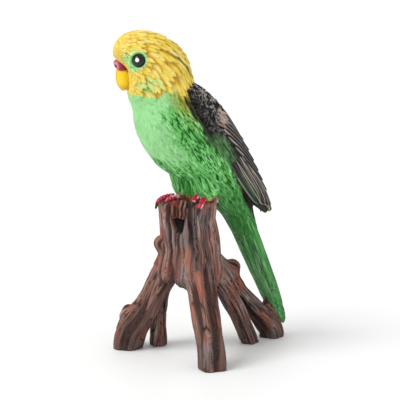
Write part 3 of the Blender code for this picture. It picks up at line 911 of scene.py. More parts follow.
@dataclass
class Plumage:
    """The bird's carved and painted skin: the head as one grid, and the body, thighs and the
    ground of the wings fused into one. The head's skin sinks under the body's at the neck."""

    voxel: float = 0.30
    length: float = 104.0
    crown_depth: float = 0.42
    lobe_depth: float = 1.0
    streak_depth: float = 0.85
    wing_scale_depth: float = 0.6
    wing_thickness: float = 3.2
    head_end: float = 0.50
    around_mean_radius: float = 11.5

    def forms(self) -> Skin:
        """The body's overlapping closed forms: trunk, lap, back ridge, rump, thighs and wing
        plates, each rings round a line.

        Returns:
            All of them as one skin, not yet fused.
        """
        share = np.linspace(0.36, 1, 190)[:, None]
        around = np.arange(160)[None, :] * (TAU / 160)
        share, around = np.broadcast_arrays(share, around)
        points = body_point(share, around)
        middle = points.mean(1, keepdims=True)
        points = points + unit(middle - points) * (1.7 * ramp(0.466, 0.430, share))[..., None]
        parts = [Skin.from_rings(points)]
        parts.append(Skin.from_rings(ball_rings(np.array([0.0, 3.2, PERCH + 3.6]),
                                                (5.0, 3.4, 6.2))))
        for profile, rows in ((BACK_RIDGE, 70), (RUMP, 60)):
            line = [(0.0, y, PERCH + z, width, depth) for y, z, width, depth in profile]
            parts.append(Skin.from_rings(tube_rings(line, (1, 0, 0), rows, 60)))
        along = np.linspace(0, 0.985, 80)[:, None]
        across = np.linspace(0, 1, 40)[None, :]
        for side in (1, -1):
            stations = [(*sided(np.array([x, y, PERCH + z]), side), r, r) for x, y, z, r in THIGH]
            parts.append(Skin.from_rings(tube_rings(stations, (1, 0, 0), 70, 60)))
            point, normal = wing_point(along, across, side)
            inner = (point - self.wing_thickness * normal)[:, ::-1]
            parts.append(Skin.from_rings(np.concatenate([point - 0.1 * normal, inner], 1)))
        return Skin.joined(parts)

    def head(self) -> Skin:
        """The head and neck: a fine grid of the bird's skin, closed inside the neck.

        Returns:
            The carved and painted head.
        """
        rows, sides = 250, 300
        share = np.linspace(0, self.head_end, rows)[:, None]
        around = np.arange(sides)[None, :] * (TAU / sides)
        share, around = np.broadcast_arrays(share, around)
        points = body_point(share, around)
        middle = points.mean(1, keepdims=True)
        points = points + unit(middle - points) * (1.7 * ramp(0.470, 0.500, share))[..., None]
        skin = Skin.from_rings(points, {"share": share, "around": around})
        share, around = skin.layers.pop("share"), skin.layers.pop("around")
        return self.carved(skin, share, around)

    def body(self) -> Skin:
        """The rest of the bird, fused by voxels, with its charts found again.

        Returns:
            The carved and painted body.
        """
        skin = self.forms().fused(self.voxel).relaxed(4)
        share, around, _ = nearest(
            body_point, skin.points, np.linspace(0.3, 0.99, 70), np.linspace(0, TAU, 61)
        )
        return self.carved(skin, share, around % TAU)

    def carved(self, skin: Skin, share: Array, around: Array) -> Skin:
        """Carves the feathers along the normals and lays the paint on as attributes.

        Args:
            skin: The smooth form.
            share: Place of each point from the face, 0, to the rump, 1.
            around: Angle of each point from the back over the left side.

        Returns:
            The same skin, carved and painted.
        """
        ground = Ground(skin.points, share, around)
        relief = self.relief(ground)
        skin.points = ground.points + skin.normals() * relief[:, None]
        skin.layers = self.painted(ground)
        radius = self.around_mean_radius
        skin.layers["chart"] = np.stack(
            [ground.s, radius * np.cos(around), radius * np.sin(around)], 1)
        return skin

    def relief(self, at: "Ground") -> Array:
        """How far each point stands off the smooth form, in millimetres: leaves on the head,
        tousled barbs on the flank, small scales on the wing, and a rim round each eye.

        Args:
            at: The charts and masks of the skin's points.

        Returns:
            One height for each point.
        """
        crown = self.crown_depth * (at.crown - 0.62) * (1 - at.to_lobes) * ramp(0, 0.1, at.share)
        head = crown + self.lobe_depth * (at.lobes - 0.72) * at.to_lobes
        barbs = (at.threads - 0.5) + 0.5 * (at.short - 0.5) - 0.8 * at.slits
        body = self.streak_depth * barbs * (0.15 + 0.85 * at.flank) + 0.12 * (at.soft - 0.5)
        relief = head * at.head + body * (1 - at.head)
        scaly = self.wing_scale_depth * (at.scales - 0.6) + 0.35 * (at.speckle - 0.5)
        relief = relief * (1 - at.on_wing) + scaly * at.on_wing
        face = np.linalg.norm(at.points - on_head(0, -23.0, 40.5), axis=1)
        relief = relief * ramp(3.0, 4.6, face) * ramp(2.6, 3.6, at.eyes)
        relief += 0.28 * ramp(0.5, 0.1, np.abs(at.eyes - 2.75)) - 1.2 * ramp(2.6, 2.1, at.eyes)
        return relief * (0.4 + 0.6 * ramp(1.0, 5.0, at.height))

    def painted(self, at: "Ground") -> dict:
        """Lays the coats of paint one over another, with painted shade in the hollow between the
        thighs and in the grooves of the nape.

        Args:
            at: The charts and masks of the skin's points.

        Returns:
            Base coat, wash and pale coat, their strengths, and where the pale coat is
            scribbled.
        """
        points, patch, yellow, flank = at.points, at.patch, at.yellow, at.flank
        side = np.abs(points[:, 0])
        rear = flank * ramp(0.60, 0.92, at.share) * ramp(4.0, 12.0, points[:, 1])
        rear = np.maximum(rear, ramp(3.0, -4.0, at.height) * ramp(8.0, 14.0, points[:, 1]))
        # Painted shade: darker green in the hollow between the thighs
        hollow = ramp(3.6, 1.2, side) * ramp(12, 5, at.height) * ramp(3.5, -1.0, points[:, 1])
        nape = ramp(0.39, 0.42, at.share) * ramp(0.58, 0.46, at.share) * ramp(-0.40, 0.10, at.back)
        colour = layered(
            points.shape, "#93D28C", ("#66BC5E", ramp(0.15, 0.85, flank + 0.3 * (patch - 0.5))),
            ("#3A8C3A", 0.9 * rear), ("#2A9C34", 0.9 * hollow), ("#9A9C30", 0.95 * nape))

        around_eye = self.nearer(points, 9.4, -18.4, 46.2, (1.0, 1.0, 1.2))
        pale = 0.85 * ramp(4.7, 2.7, around_eye + 2.4 * (at.tint - 0.5))
        cheek = self.nearer(points, 9.6, -13.6, 38.4, (0.6, 0.6, 1.3))
        pale = np.maximum(pale, 0.6 * ramp(3.4, 1.6, cheek + 3.4 * (at.tint - 0.35)))
        head_paint = layered(points.shape, "#EBCF4E", ("#F4E286", 0.7 * ramp(0.35, 0.9, at.tint)),
                             ("#A5E598", pale))
        colour = mixed(colour, head_paint, yellow)
        colour = mixed(colour, linear("#8FD890"), ramp(2.95, 2.6, at.eyes))

        bleed = ramp(1.7, 0.5, at.height + 1.6 * (patch - 0.5)) * ramp(9.0, 6.5, points[:, 1])
        colour = mixed(colour, linear("#D0802E"), 0.75 * bleed * (side < 11))

        # The dark of the wing runs out over the flank in broken strokes
        brush = 1.8 * (at.threads - 0.5) + 2.0 * (patch - 0.5) + 1.4 * (at.short - 0.5)
        fade = ramp(1.9, 0.2, at.under_wing + brush) * (points[:, 1] > -9) * (at.height > -9)
        mantle = ramp(0.45, 0.475, at.share) * ramp(0.30, 0.6, at.back + 0.3 * (patch - 0.5))
        green = (ramp(0.45, 1.0, at.across + 0.25 * brush) * ramp(0.26, 0.38, at.along)
                 * ramp(0.82, 0.70, at.along))
        wing = at.on_wing * ramp(0.02, 0.06, at.along) * (1 - 0.42 * green)
        dark = np.max([wing, 0.92 * fade * (1 - 0.3 * green), mantle], axis=0)
        dark = dark * (1 - yellow * ramp(0.9, 0.6, at.back))
        colour = mixed(colour, linear("#2A2523"), dark)

        groove = ramp(0.62, 0.30, at.feather) * yellow
        # Painted shade: a darker, brown wash in the grooves between the nape's feathers
        nape_groove_shade = yellow * ramp(0.27, 0.36, at.share) * ramp(0.35, 0.8, at.back)
        wash = layered(points.shape, "#125A1E", ("#BA841A", yellow), ("#338C3E", yellow * pale),
                       ("#4E3614", nape_groove_shade), ("#0B0908", dark))
        slits = at.slits * (0.10 + 0.55 * flank) * (1 - yellow)
        lying = np.clip(0.9 * slits + (0.62 + 0.3 * nape_groove_shade) * groove, 0, 1)
        colour = mixed(colour, wash, lying * (1 - dark))
        strength = 0.85 * groove + 0.18 * yellow + (1 - yellow) * (0.12 + 0.88 * flank)
        strength = np.where(dark > 0.5, 0.7, strength) * ramp(2.4, 3.2, at.eyes)

        lit = layered(points.shape, "#B2F2B0", ("#FDF5B8", yellow), ("#C6C0BA", dark))
        ridge = yellow * ramp(0.70, 0.92, at.feather) * 0.7
        barbs = (1 - yellow) * (0.25 + 0.4 * flank) * ramp(0.45, 0.70, at.threads)
        barbs = barbs * (1 - 0.7 * rear)
        grey = dark * ramp(0.95, 0.50, at.across) * ramp(0.42, 0.30, at.along)
        strokes = np.clip(ridge + barbs * (1 - dark) + 0.9 * grey, 0, 1)
        return {"paint": colour, "wash": wash, "wash_strength": strength, "pale": lit,
                "pale_strength": strokes * ramp(2.4, 3.2, at.eyes), "scribbles": dark}

    def nearer(self, points: Array, side: float, y: float, z: float, weights: tuple) -> Array:
        """Distance of each point from the nearer of two places, left and right on the head.

        Args:
            points: The points.
            side: How far to the side both places lie.
            y: Where they lie along the straight profile.
            z: Their height above the perch.
            weights: What each direction of the distance is multiplied by.

        Returns:
            The weighted distances.
        """
        return np.min([np.linalg.norm((points - on_head(s * side, y, z)) * np.array(weights),
                                      axis=1) for s in (1, -1)], axis=0)


class Ground:
    """The charts of the bird's skin and the noise and masks that its feathers and coats of
    paint are made from, each as one array over the skin's points."""

    def __init__(self, points: Array, share: Array, around: Array) -> None:
        """Works out everything that the relief and the paint read.

        Args:
            points: Points of the smooth form, in millimetres.
            share: Place of each from the face, 0, to the rump, 1.
            around: Angle of each from the back over the left side.
        """
        self.points, self.share, self.back = points, share, np.cos(around)
        self.height = points[:, 2] - PERCH
        self.patch, self.soft = solid_noise(points, 3.0, 81), solid_noise(points, 2.4, 33)
        self.s, turns = share * Plumage.length, around / TAU
        front = -self.back

        # The wing's own chart, and the distance from its lower edge
        left = points * np.sign(points[:, :1] + 1e-9) ** np.array([1, 0, 0])
        self.along, self.across, off_wing = nearest(
            wing_surface, left, np.linspace(0, 0.985, 60), np.linspace(-0.15, 1.0, 30))
        low = curve(WING_LOW_EDGE, np.linspace(0, 1, 70)) + np.array([0, 0, PERCH])
        self.under_wing = np.sqrt(np.min([((left - place) ** 2).sum(1) for place in low], axis=0))
        self.on_wing = (ramp(1.0, 0.4, off_wing) * ramp(0.0, 0.03, self.along)
                        * ramp(1.04, 0.96, self.across))
        chord = np.linalg.norm(
            curve(WING_LOW_EDGE, self.along) - curve(WING_BACK_EDGE, self.along), axis=1)
        self.scales, _ = overlapped(self.along * 62, self.across * chord / 60, 2.3, 34, 61)
        self.speckle = solid_noise(points, 0.8, 71)

        # Feathers grow from narrow on the crown to broad leaves on the cheek and nape
        warp = 2.4 * (solid_noise(points, 5.0, 82) - 0.5)
        sway = turns + 0.022 * (solid_noise(points, 5.0, 83) - 0.5)
        self.crown, crown_tint = overlapped(self.s + warp, sway, 2.5, 74, 11)
        self.lobes, lobe_tint = overlapped(
            self.s + warp + 1.3 * np.sin(3 * around), sway, 3.4, 42, 21)
        self.to_lobes = (ramp(0.19, 0.30, share + 0.06 * self.back)
                         * (1 - 0.5 * ramp(0.45, 1.0, front)))
        self.feather = np.where(self.to_lobes > 0.5, self.lobes, self.crown)
        self.tint = np.where(self.to_lobes > 0.5, lobe_tint, crown_tint)
        border = 34.9 + 1.7 * (self.tint - 0.5) + 1.2 * (self.patch - 0.5)
        border = border - 0.8 * ramp(0.2, 0.9, self.back)
        border = border + 1.5 * ramp(0.5, 0.1, np.abs(self.back)) * ramp(0.2, 0.35, share)
        soft = 0.25 + 2.0 * ramp(-0.30, 0.20, self.back) * ramp(0.30, 0.38, share)
        self.yellow = np.where(self.height > border, ramp(-0.25, 0.25, self.height - border),
                               0.5 * ramp(-soft, 0.0, self.height - border))
        leaves = 2.2 + 3.5 * ramp(-0.5, 0.1, self.back)
        self.head = np.maximum(self.yellow, ramp(leaves, 0.4, border - self.height))

        # Long tousled barbs on the flank and thighs, nearly smooth on the breast
        self.flank = np.maximum(ramp(0.97, 0.25, front) * ramp(0.40, 0.50, share),
                                0.8 * ramp(17.0, 11.0, self.height))
        drift = turns + 0.006 * np.sin(self.s * 0.9 + 9 * around)
        self.threads = wrapped_noise(self.s, drift, 3.6, 124, 31)
        self.short = wrapped_noise(self.s, drift, 2.2, 150, 32)
        self.slits = ramp(0.31, 0.23, 0.6 * self.threads + 0.4 * self.short)
        self.eyes = np.min([np.linalg.norm(points - Face.eye_centre(side), axis=1)
                            for side in (1, -1)], axis=0)


@dataclass(frozen=True)
class Feather:
    """One long feather on a folded wing's chart: where it starts and ends by shares of the
    wing's length and width, its half width, how far its root and tip stand off, and how
    much of its pale coat is scribbled over it."""

    start: float
    start_across: float
    end: float
    end_across: float
    half_width: float
    low_lift: float
    high_lift: float
    scribbled: float


@dataclass
class Wings:
    """The rows of long feathers on both folded wings."""

    rows: int = 34
    sides: int = 23
    thickness: float = 0.8
    tip_count: int = 5
    inner_count: int = 6
    outer_count: int = 11
    shoulder_rows: int = 5
    shoulder_count: int = 7

    def feathers(self) -> list:
        """The feathers of one wing: the tip's, the inner and outer long ones behind them, and
        the short ones of the shoulder.

        Returns:
            A list of Feather.
        """
        made = [Feather(0.50, 0.40 + 0.13 * k, 0.985 - 0.035 * k, 0.24 + 0.17 * k,
                        1.6, 0.05, 0.6, 0.0) for k in range(self.tip_count)]
        made += [Feather(0.16 + 0.07 * k, 0.64, 0.48 + 0.07 * k, 0.30,
                         1.2, 0.20, 0.95, 0.0) for k in range(self.inner_count)]
        made += [Feather(0.12 + 0.055 * k, 0.38, 0.43 + 0.052 * k, 0.02,
                         1.2, 0.25, 1.20 - 0.03 * k, 0.0) for k in range(self.outer_count)]
        for row in range(self.shoulder_rows):
            for k in range(self.shoulder_count):
                start = 0.035 + 0.043 * row + 0.012 * (k % 2)
                made.append(Feather(start, 0.06 + 0.135 * k, start + 0.10, 0.03 + 0.135 * k,
                                    1.3, 0.10, 0.95, 1.0 - 0.09 * k))
        return made

    def blade(self, side: int, feather: Feather, number: int) -> Skin:
        """A closed blade: half width * outline(share) to each side of its line, raised along
        the shaft and edges, with a flat underside.

        Args:
            side: 1 for the bird's left, -1 for its right.
            feather: Its place and size.
            number: Which feather, for its shade.

        Returns:
            The blade with its paint.
        """
        share = np.linspace(0, 1, self.rows)[:, None]
        w = np.linspace(-1, 1, self.sides)[None, :]
        along = feather.start + (feather.end - feather.start) * share
        across = feather.start_across + (feather.end_across - feather.start_across) * share
        chord = np.linalg.norm(
            curve(WING_LOW_EDGE, along) - curve(WING_BACK_EDGE, along), axis=-1
        )
        outline = np.minimum(0.75 + share, 1) * np.sqrt(np.clip(1 - share**6, 0, 1))
        spread = feather.half_width * outline / np.maximum(chord, 2.0)
        lift = feather.low_lift + (feather.high_lift - feather.low_lift) * share
        shaft = np.exp(-((w / 0.15) ** 2))
        rim = ramp(0.72, 0.90, np.abs(w))
        height = lift + 0.22 * (1 - w**2) + 0.34 * shaft + 0.26 * rim
        point, normal = wing_point(along, across + w * spread, side)
        top = point + normal * height[..., None]
        point, normal = wing_point(along, across + 0.92 * w[:, ::-1] * spread, side)
        under = point + normal * (lift - self.thickness)[..., None]
        rings = np.concatenate([top, under], 1)
        flat = 0 * w + 0 * share
        raised = np.maximum(0.30 * shaft * ramp(1, 0.7, share), rim) + flat
        ridge = np.concatenate([raised, flat], 1)
        place = np.concatenate([across + w * spread] * 2, 1)
        streak = 0.5 + 0.5 * np.sin(9 * share + 5 * number + 4 * np.concatenate([w, w], 1))
        down = np.concatenate([along + flat[:1]] * 2, 1)
        green = ramp(0.62, 0.95, place) * ramp(0.5, 0.7, down)
        olive = ramp(0.90, 1.0, down) * np.concatenate([ramp(0.75, 1.0, share) + flat] * 2, 1)
        near = np.hypot((down - 0.285) / 0.05, (place - 0.50) / 0.24)
        worn = ramp(1.0, 0.5, near + 0.5 * (streak - 0.5))
        shown = (1 - 0.75 * feather.scribbled) * ramp(0.27, 0.33, down)
        buff = ridge * (0.65 + 0.35 * streak) * shown * ramp(1.15, 0.7, place)
        buff = np.clip(buff + 0.3 * ridge * (down > 0.6) * ramp(0.75, 0.95, place), 0, 1)
        colour = layered(
            rings.shape, "#171412", ("#22442A", 0.8 * green), ("#6E7A38", 0.75 * olive),
            ("#CDB4A4", 0.9 * worn), ("#D8C8BC", 0.9 * buff))
        wash = np.broadcast_to(linear("#0C0A09"), rings.shape)
        pale = np.broadcast_to(linear("#C6C0BA"), rings.shape)
        chart = np.stack(np.broadcast_arrays(
            30.0 * along + 7.0 * number, feather.half_width * w + 3.0 * number, 0 * w), -1)
        return Skin.from_rings(rings, {
            "paint": colour, "wash": wash, "pale": pale, "wash_strength": 0.8 * (1 - ridge),
            "pale_strength": 0.95 * feather.scribbled * ramp(1.1, 0.6, place) * (1 - 0.6 * worn),
            "scribbles": (feather.scribbled > 0) + 0 * down,
            "chart": np.concatenate([chart, chart[:, ::-1]], 1),
        })

    def build(self, side: int) -> Skin:
        """All the feathers of one wing as one skin."""
        return Skin.joined([self.blade(side, f, k) for k, f in enumerate(self.feathers())])


@dataclass
class Tail:
    """The stepped tail: three overlapping feathers on each side."""

    top_y: float = 18.3
    top: float = -3.5
    tip_y: float = 39.4
    tip: float = 4.4 - PERCH
    thinning: float = 0.12
    rows: int = 170
    sides: int = 72

    def feather(self, side: int, reach: float, side_top: float, side_end: float,
                half_width: float, half_depth: float, seed: int) -> Skin:
        """One tail feather: a flattened tube along the sloping tail line, with a raised
        shaft and long fine barbs.

        Args:
            side: 1 for the bird's left, -1 for its right.
            reach: Share of the tail's length.
            side_top: Distance from the middle at the rump.
            side_end: Distance from the middle at the tip.
            half_width: Half its width.
            half_depth: Half its depth.
            seed: Which barb pattern.

        Returns:
            The feather with its paint.
        """
        slope = (self.tip - self.top) / (self.tip_y - self.top_y)
        stations = []
        for share, size in ((0, 0.7), (0.12, 1), (0.5, 1), (0.85, 0.85), (0.96, 0.55), (1.0, 0.1)):
            back = share * reach * (self.tip_y - self.top_y)
            place = np.array([side_top + (side_end - side_top) * share, self.top_y + back,
                              PERCH + self.top + slope * back])
            stations.append((*sided(place, side), size * half_width,
                             size * half_depth * (1 - self.thinning * share * reach)))
        share = np.linspace(0, 1, self.rows)[:, None]
        turns = np.arange(self.sides)[None, :] / self.sides
        s = share * 50 * reach
        threads = wrapped_noise(s, turns, 6.0, 26, seed)
        fine = wrapped_noise(s + 4 * turns, turns, 2.2, 44, seed + 1)
        shaft = np.exp(-(((np.abs(turns - 0.5) - 0.16) / 0.018) ** 2)) + 0 * share
        relief = 0.30 * (threads - 0.5) + 0.14 * (fine - 0.5) + 0.22 * shaft
        rings = tube_rings(stations, (1, 0, 0), self.rows, self.sides, relief)
        upper = ramp(0.10, 0.0, share * reach) + 0 * turns
        rear = np.cos(turns * TAU)
        stripe = ramp(0.38, 0.52, rear) * (reach > 0.95) + 0 * share
        tip = ramp(0.86, 0.97, share * reach) + 0 * turns
        colour = layered(rings.shape, "#449A46", ("#23702E", ramp(0.55, 0.35, threads)),
                         ("#3F8E3E", upper), ("#33261C", 0.9 * stripe), ("#1F4A28", 0.45 * tip))
        front = ramp(0.2, 0.9, -rear) + 0 * share
        radius = half_depth + 1.0
        around = turns * TAU
        chart = np.stack(np.broadcast_arrays(
            s, radius * np.cos(around) + 5.0 * seed, radius * np.sin(around)), -1)
        return Skin.from_rings(rings, {
            "paint": colour, "wash": np.broadcast_to(linear("#1B5A28"), rings.shape),
            "pale": np.broadcast_to(linear("#A9CFA0"), rings.shape),
            "wash_strength": 0.75 + 0 * threads,
            "pale_strength": np.clip(0.25 + 0.45 * front * ramp(0.1, 0.3, share * reach)
                                     + 0.25 * shaft, 0, 1) * (1 - stripe),
            "chart": chart,
        })

    def build(self) -> Skin:
        """All six feathers, three to a side.

        Returns:
            One skin.
        """
        sizes = ((0.74, 4.4, 3.4, 2.0, 2.1), (0.90, 2.8, 2.0, 1.9, 2.9), (1.0, 1.3, 0.9, 1.9, 2.8))
        return Skin.joined([
            self.feather(side, *size, 200 + 10 * k + side)
            for side in (1, -1) for k, size in enumerate(sizes)
        ])


# Face and feet


@dataclass
class Face:
    """Bill, cere and eyes on the turned head."""

    eye_radius: float = 2.15
    rows: int = 60
    sides: int = 72

    @staticmethod
    def eye_centre(side: int) -> Array:
        """Middle of the eye on one side of the head."""
        return on_head(side * 10.2, -17.3, 46.35)

    def bill(self) -> Skin:
        """Upper and lower bill: round sections along two hooked lines, the upper with a
        blunt ridge down its front that fades towards its tip.

        Returns:
            Both as one skin.
        """
        leftward = on_head(1, 0, 0) - on_head(0, 0, 0)
        share = np.linspace(0, 1, self.rows)[:, None]
        turns = np.arange(self.sides)[None, :] / self.sides
        parts = []
        for points in (BILL, LOWER_BILL):
            stations = [(*on_head(0, y, z), r, r) for y, z, r in points]
            ridge = 0.12 * ramp(0.90, 1.0, np.abs(np.cos(TAU * turns))) * ramp(1, 0.6, share)
            rings = tube_rings(stations, tuple(leftward), self.rows, self.sides, ridge)
            low = rings[..., 2] - PERCH
            shade = ramp(38.6, 36.4, low) + ramp(0.80, 0.98, np.abs(np.cos(TAU * turns)))
            colour = mixed(linear("#F2D016"), linear("#D0900C"), 0.65 * np.clip(shade, 0, 1))
            parts.append(Skin.from_rings(rings, {"paint": colour}))
        return Skin.joined(parts)

    def cere(self) -> Skin:
        """The soft skin over the bill: two swellings that slope back to the cheek, each with
        a nostril sunk into it. Each is centre + a cos v + b sin v cos u + c sin v sin u.

        Returns:
            Both swellings as one skin.
        """
        along = unit(on_head(0, -20.3, 42.9) - on_head(0, -24.0, 45.2))
        leftward = unit(on_head(1, 0, 0) - on_head(0, 0, 0))
        upward = np.cross(along, leftward)
        v = np.linspace(0, math.pi, self.rows)[:, None]
        u = np.arange(self.sides)[None, :] * (TAU / self.sides)
        parts = []
        for side in (1, -1):
            centre = on_head(side * 1.35 + 0.07, -22.5, 44.0)
            rings = (centre
                     + along * (2.35 * np.cos(v) + 0 * u)[..., None]
                     + leftward * (1.75 * np.sin(v) * np.cos(u))[..., None]
                     + upward * (1.65 * np.sin(v) * np.sin(u))[..., None])
            hole = np.linalg.norm(rings - on_head(side * 2.1, -24.2, 43.9), axis=-1)
            rings = rings + unit(centre - rings) * (0.5 * ramp(0.75, 0.25, hole))[..., None]
            middle = np.linalg.norm(rings - on_head(side * 3.1, -21.4, 43.4), axis=-1)
            # The pale pink round each nostril is a painted highlight on the cere
            colour = layered(rings.shape, "#B23E5C", ("#8C1A36", ramp(2.2, 0.9, middle)),
                             ("#E79AAE", 0.6 * ramp(1.6, 1.0, hole)),
                             ("#241018", ramp(0.75, 0.5, hole)))
            parts.append(Skin.from_rings(rings, {"paint": colour}))
        return Skin.joined(parts)

    def eyes(self) -> Skin:
        """Two glossy balls, each with a painted highlight: one small white dot towards the face.

        Returns:
            Both eyes as one skin.
        """
        parts = []
        for side in (1, -1):
            centre = self.eye_centre(side)
            rings = ball_rings(centre, (self.eye_radius,) * 3, self.rows, self.sides)
            towards = unit(on_head(side * 1.0, -0.36, 0.17) - on_head(0, 0, 0))
            # Painted highlight: a white dot on the eye that stands in for a glint of light
            highlight_dot = centre + self.eye_radius * towards
            from_highlight = np.linalg.norm(rings - highlight_dot, axis=-1)
            colour = mixed(linear("#0B0908"), linear("#F6F6F2"), ramp(0.72, 0.52, from_highlight))
            parts.append(Skin.from_rings(rings, {"paint": colour}))
        return Skin.joined(parts)


@dataclass
class Feet:
    """Two toes forward and one back on each foot, with claws over the rim."""

    radius: float = 0.95
    toes: tuple = (
        ((5.0, 1.6, 1.6), (6.2, -0.6, 1.5), (7.5, -3.0, 0.7), (8.3, -4.6, -1.2)),
        ((5.8, 2.4, 1.4), (7.7, 0.8, 1.0), (9.3, -1.8, -1.0), (10.0, -3.4, -3.8)),
        ((5.0, 3.0, 1.4), (5.0, 6.0, 0.9), (4.4, 8.0, -1.0), (4.2, 8.6, -3.0)),
        ((-0.6, -3.4, 0.9), (-0.4, -5.4, 0.5), (-1.0, -7.4, -0.1), (-1.8, -9.2, -1.8)),
        ((-3.4, -3.0, 0.9), (-4.2, -6.0, 0.4), (-4.9, -8.3, -0.8), (-5.0, -9.5, -3.2)),
        ((-6.0, 2.0, 1.2), (-7.0, 4.6, 0.9), (-6.8, 6.6, -1.0), (-6.6, 7.2, -3.0)),
    )

    def build(self) -> Skin:
        """All the toes: scaly tubes that taper into black claws.

        Returns:
            The toes as one skin.
        """
        parts = []
        share = np.linspace(0, 1, 90)[:, None]
        turns = np.arange(36)[None, :] / 36
        for k, points in enumerate(self.toes):
            stations = [(x, y, PERCH + z, self.radius * r, self.radius * r)
                        for (x, y, z), r in zip(points, (0.75, 1.0, 0.85, 0.25))]
            ring = np.cos(TAU * share * 8) * ramp(0.70, 0.60, share)
            worn = wrapped_noise(share * 9, turns, 1.4, 6, 401 + k)
            rings = tube_rings(stations, (-points[-1][1], points[-1][0], 0), 90, 36,
                               0.07 * ring + 0.10 * (worn - 0.5))
            colour = layered(rings.shape, "#B01A3E", ("#F2C4D0", ramp(0.50, 0.72, worn)),
                             ("#7E1730", ramp(-0.4, -1.0, ring) * 0.6 + 0 * turns),
                             ("#1C1414", ramp(0.72, 0.78, share) + 0 * turns))
            parts.append(Skin.from_rings(rings, {"paint": colour}))
        return Skin.joined(parts)


# The stump


